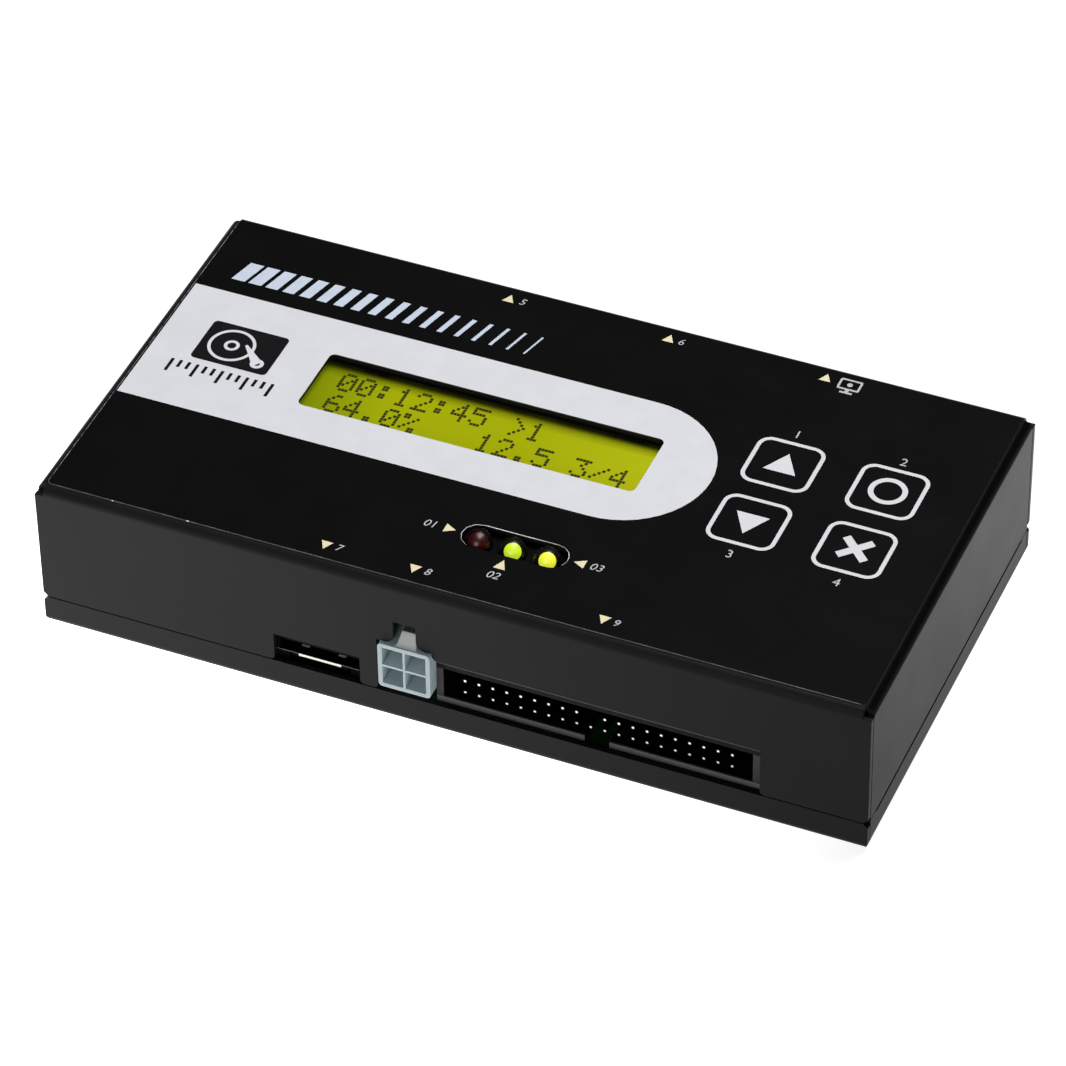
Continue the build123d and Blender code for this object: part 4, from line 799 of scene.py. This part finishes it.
def scale_ticks():
    """Outlines of the ticks below the tile, the first of every three long."""
    pitch = (SCALE_RIGHT - SCALE_LEFT - TICK_WIDTH) / (TICKS - 1)
    loops = []
    for i in range(TICKS):
        share = 1.0 if i % LONG_TICK_EVERY == 0 else SHORT_TICK
        left = SCALE_LEFT + i * pitch
        front = SCALE_REAR - (SCALE_REAR - SCALE_FRONT) * share
        loops.append(corners(left, front, left + TICK_WIDTH, SCALE_REAR))
    return loops


tile()
prisms("print_scale", scale_ticks(), INK, INK + PRINT_RISE, black_ink)


def arrow(place, turn, length=ARROW_LENGTH):
    """Small solid arrow with its base's middle at a place, pointing along a turn in degrees."""
    c, s = math.cos(math.radians(turn)), math.sin(math.radians(turn))
    points = ((0, -ARROW_WIDTH / 2), (length, 0), (0, ARROW_WIDTH / 2))
    return [(place[0] + px * c - py * s, place[1] + px * s + py * c) for px, py in points]


arrows = [arrow(place, 90) for place in REAR_ARROWS] + [arrow(place, -90) for place in FRONT_ARROWS]
arrows += [
    arrow(LEFT_LAMP_ARROW, 0),
    arrow(MIDDLE_LAMP_ARROW, 90, LONG_ARROW_LENGTH),
    arrow(RIGHT_LAMP_ARROW, 180),
]
prisms("print_arrows", arrows, TOP, INK, cream_ink)
screen = (rounded(SCREEN_X, SCREEN_Y, *SCREEN_OUTER), rounded(SCREEN_X, SCREEN_Y, *SCREEN_INNER))
rings("print_screen", [screen], TOP, INK, grey_ink)
screen_dot = circle(SCREEN_X, SCREEN_Y, SCREEN_DOT, SCREEN_DOT_FACETS)
stand = [corners(*SCREEN_NECK), corners(*SCREEN_FOOT), screen_dot]
prisms("print_screen_foot", stand, TOP, INK, grey_ink)


def numeral(name, text, left, front, tall, lean):
    """Plain number printed on the panel, by its left and front edge and its height."""
    curve = bpy.data.curves.new(name, "FONT")
    curve.body = text
    curve.shear = lean
    curve.resolution_u = 3
    holder = bpy.data.objects.new(name + "_curve", curve)
    bpy.context.scene.collection.objects.link(holder)
    bpy.context.view_layer.update()
    graph = bpy.context.evaluated_depsgraph_get()
    mesh = bpy.data.meshes.new_from_object(holder.evaluated_get(graph))
    bpy.data.objects.remove(holder)
    bpy.data.curves.remove(curve)
    mesh.name = name
    xs, ys = [v.co.x for v in mesh.vertices], [v.co.y for v in mesh.vertices]
    scale = tall / (max(ys) - min(ys))
    low_x, low_y = min(xs), min(ys)
    for v in mesh.vertices:
        v.co = Vector((left + (v.co.x - low_x) * scale, front + (v.co.y - low_y) * scale, INK)) * MM
    shape = bmesh.new()
    shape.from_mesh(mesh)
    bmesh.ops.remove_doubles(shape, verts=shape.verts, dist=1e-7)
    thicken(shape)
    shape.to_mesh(mesh)
    shape.free()
    mesh.materials.clear()
    place_mesh(name, mesh, grey_ink, "case")


# Name, text, left edge, front edge, height and lean of each number
numerals = (
    ("print_key_1", "1", 39.6, 19.6, 1.9, 0.0),
    ("print_key_2", "2", 58.5, 19.5, 1.9, 0.0),
    ("print_key_3", "3", 39.6, -13.5, 1.9, 0.0),
    ("print_key_4", "4", 58.5, -13.5, 1.9, 0.0),
    ("print_rear_5", "5", -18.5, 35.4, 1.6, 0.2),
    ("print_rear_6", "6", 11.6, 35.5, 1.6, 0.2),
    ("print_front_7", "7", -21.5, -36.4, 1.6, 0.2),
    ("print_front_8", "8", -5.3, -36.4, 1.6, 0.2),
    ("print_front_9", "9", 28.8, -36.4, 1.6, 0.2),
    ("print_lamp_01", "01", -10.4, -25.0, 1.7, 0.2),
    ("print_lamp_02", "02", 4.5, -33.1, 1.7, 0.2),
    ("print_lamp_03", "03", 19.8, -24.9, 1.7, 0.2),
)
for name, text, left, front, tall, lean in numerals:
    numeral(name, text, left, front, tall, lean)

# Painted highlight: thin grey strips along the data plug's front edges, on both sides of its strip
strip_low, strip_high = (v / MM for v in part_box("sata_insert"))
housing_low, housing_high = (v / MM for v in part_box("sata_housing"))
highlight_ends = (
    (housing_low.x + SHINE_LEFT_GAP, strip_low.x - SHINE_STRIP_GAP),
    (strip_high.x + SHINE_STRIP_GAP, housing_high.x - SHINE_RIGHT_GAP),
)
highlight_front, highlight_back = housing_low.y - SHINE_FRONT, housing_low.y + SHINE_BACK
prisms(
    "sata_front_edge_highlights",
    [corners(left, highlight_front, right, highlight_back) for left, right in highlight_ends],
    strip_high.z - SHINE_HALF, strip_high.z + SHINE_HALF, edge_highlight_grey, "case",
)

# Cut edges of the printed film: pale, with painted highlight that is bright around the lamp slot and
# dull around the outside
lamp_low, lamp_high = (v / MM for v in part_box("lamp_working"))
SLOT_X = (lamp_low.x + lamp_high.x) / 2 + SLOT_SHIFT_X
SLOT_Y = (lamp_low.y + lamp_high.y) / 2 + SLOT_SHIFT_Y
EDGE_LOW = TOP - EDGE_DEPTH


def slot_edge(first, last, facets):
    """Facetted painted highlight of uneven width along the slot's rim, round its rear from a first turn
    to a last.
    """
    radius = SLOT_DEPTH / 2 - SLOT_EDGE_INSET
    reach = SLOT_WIDTH / 2 - SLOT_DEPTH / 2
    left = [(-reach, math.radians(first + (90 - first) * i / facets)) for i in range(facets + 1)]
    right = [(reach, math.radians(90 + (last - 90) * i / facets)) for i in range(facets + 1)]
    rim = left + [(SLOT_EDGE_MIDDLE * reach, math.radians(90))] + right
    outer, inner = [], []
    for (shift, t), width in zip(rim, SLOT_EDGE_WIDTHS):
        inside = radius - width
        outer.append((SLOT_X + shift + radius * math.cos(t), SLOT_Y + radius * math.sin(t)))
        inner.append((SLOT_X + shift + inside * math.cos(t), SLOT_Y + inside * math.sin(t)))
    return outer + inner[::-1]


slot_line = slot_edge(SLOT_EDGE_FIRST, SLOT_EDGE_LAST, SLOT_EDGE_FACETS)
prisms("slot_edge_highlight", [slot_line], EDGE_LOW, TOP + SLOT_EDGE_RISE, cut_edge_highlight)
left, right, front, rear = film_low.x, film_high.x, film_low.y, film_high.y
film_line = [
    (left, rear - FILM_CUT),
    (left, front + FILM_CUT),
    (left + FILM_CUT_OUTER, front + FILM_CUT_OUTER),
    (left + FILM_CUT, front),
    (right - FILM_CUT, front),
    (right - FILM_CUT, front + FILM_LINE),
    (left + FILM_CUT, front + FILM_LINE),
    (left + FILM_CUT_INNER, front + FILM_CUT_INNER),
    (left + FILM_LINE, front + FILM_CUT),
    (left + FILM_LINE, rear - FILM_CUT),
]
prisms("film_front_edge_highlight", [film_line], TOP, TOP + LOW_EDGE, film_edge_highlight)
left_line = corners(left, front + LEFT_LINE_CUT, left + FILM_LINE, rear - LEFT_LINE_CUT)
prisms("film_left_edge_highlight", [left_line], TOP + LOW_EDGE, TOP + HIGH_EDGE, left_edge_highlight)
chips = [
    rounded(x, front + CHIP_SHIFT, width, CHIP_DEPTH, CHIP_CORNER, CHIP_STEPS)
    for x, width in CHIPS
]
prisms("film_edge_chips", chips, EDGE_LOW, TOP + HIGH_EDGE, cut_edge_highlight)


def display_dots():
    """Every dark dot of the two rows of characters, on the face of the glass."""
    glass_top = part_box("display_glass")[1].z / MM
    loops = []
    for row, text in enumerate(DISPLAY_ROWS):
        for place, mark in enumerate(text):
            for line, bits in enumerate(GLYPHS[mark]):
                for column, bit in enumerate(bits):
                    if bit == "1":
                        x = FIRST_DOT_X + place * CHAR_PITCH + column * DOT_PITCH_X
                        y = FIRST_DOT_Y - row * ROW_PITCH - line * DOT_PITCH_Y
                        loops.append(corners(x, y - DOT_DEPTH, x + DOT_WIDTH, y))
    prisms("display_dots", loops, glass_top, glass_top + DOT_RISE, display_ink, "case")


display_dots()

# Lamp, slot, glow and radius of the cup inside each lamp
cups = (
    ("lamp_fault", "lens_red", red_cup_painted_glow, 1.7),
    ("lamp_working", "lens_green", glow_green, 1.5),
    ("lamp_powered", "lens_yellow", glow_yellow, 1.5),
)
for lamp, slot, shader, radius in cups:
    low, high = (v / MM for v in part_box(lamp))
    cx, cy = (low.x + high.x) / 2, (low.y + high.y) / 2
    turns = [math.radians(CUP_START + CUP_SWEEP * i / CUP_STEPS) for i in range(CUP_STEPS + 1)]
    profile = [(radius * math.cos(t), radius * math.sin(t)) for t in turns]
    lathe(f"{lamp}_cup", profile, (cx, cy, high.z - LENS_RADIUS), shader, "case")

# Floor, light and camera
floor_mesh = bpy.data.meshes.new("floor")
floor_verts = [(x, y, 0) for x, y in corners(-REACH, -REACH, REACH, REACH)]
floor_mesh.from_pydata(floor_verts, [], [(0, 1, 2, 3)])
floor = bpy.data.objects.new("floor", floor_mesh)
floor.location.z = -FLOOR_DROP
bpy.context.scene.collection.objects.link(floor)
floor_paper = plain_material(
    "floor_paper", (0.3, 0.3, 0.3, 1.0), 0.9, vary=0.004, patch_mm=120.0, gloss=0.1,
)
# Painted light: the floor glows unevenly, brighter towards the left and behind the case, dimmer in front
# of its right end.
floor_x, floor_y, _ = floor_paper.place_parts()
slope = floor_paper.calc("MULTIPLY_ADD", floor_x, LEAN, floor_y)
leaning = floor_paper.range(slope, 0.0, FLOOR_BRIGHT, *LEANING_BAND)
before = floor_paper.range(floor_y, 1.0, 0.0, *BEFORE_BAND)
beside = floor_paper.range(floor_x, 0.0, FLOOR_RIGHT, *BESIDE_BAND)
behind = floor_paper.range(floor_y, 0.0, 1.0, *BEHIND_BAND)
left_glow = floor_paper.calc("MULTIPLY_ADD", leaning, before, FLOOR_DIM)
glow = floor_paper.calc("MULTIPLY_ADD", beside, behind, left_glow)
floor_paper.link(glow, floor_paper.surface.inputs["Emission Strength"])
floor_paper.set(Emission_Color=(1.0, 1.0, 1.0, 1.0))
floor_mesh.materials.append(floor_paper.material)
floor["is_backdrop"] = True

world = bpy.data.worlds.new("studio")
bpy.context.scene.world = world
world.use_nodes = True
backdrop = world.node_tree.nodes["Background"]
backdrop.inputs["Color"].default_value = (1.0, 1.0, 1.0, 1.0)
backdrop.inputs["Strength"].default_value = WORLD_STRENGTH


def soft_light(name, place, aim, size, power):
    """Square lamp at a place, turned to its aim."""
    data = bpy.data.lights.new(name, "AREA")
    data.energy = power
    data.size = size
    lamp = bpy.data.objects.new(name, data)
    lamp.location = place
    lamp.rotation_euler = (Vector(aim) - Vector(place)).to_track_quat("-Z", "Y").to_euler()
    bpy.context.scene.collection.objects.link(lamp)


soft_light("light_top", (0.2, 0.4, 1.25), (0, 0, 0), 0.8, 17)
soft_light("light_front", (0.1, -1.1, 0.55), (0, 0, 0.01), 0.5, 4)

camera_data = bpy.data.cameras.new("camera")
camera_data.sensor_width = 36.0
camera_data.lens = 193.43
camera_data.clip_start = 0.05
camera = bpy.data.objects.new("camera", camera_data)
turn = Matrix((Vector(CAMERA_RIGHT), -Vector(CAMERA_DOWN), -Vector(CAMERA_FORWARD))).transposed()
camera.matrix_world = Matrix.Translation(Vector(CAMERA_PLACE)) @ turn.to_4x4()
bpy.context.scene.collection.objects.link(camera)
bpy.context.scene.camera = camera
bpy.context.scene.view_settings.view_transform = "Standard"

low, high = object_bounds()
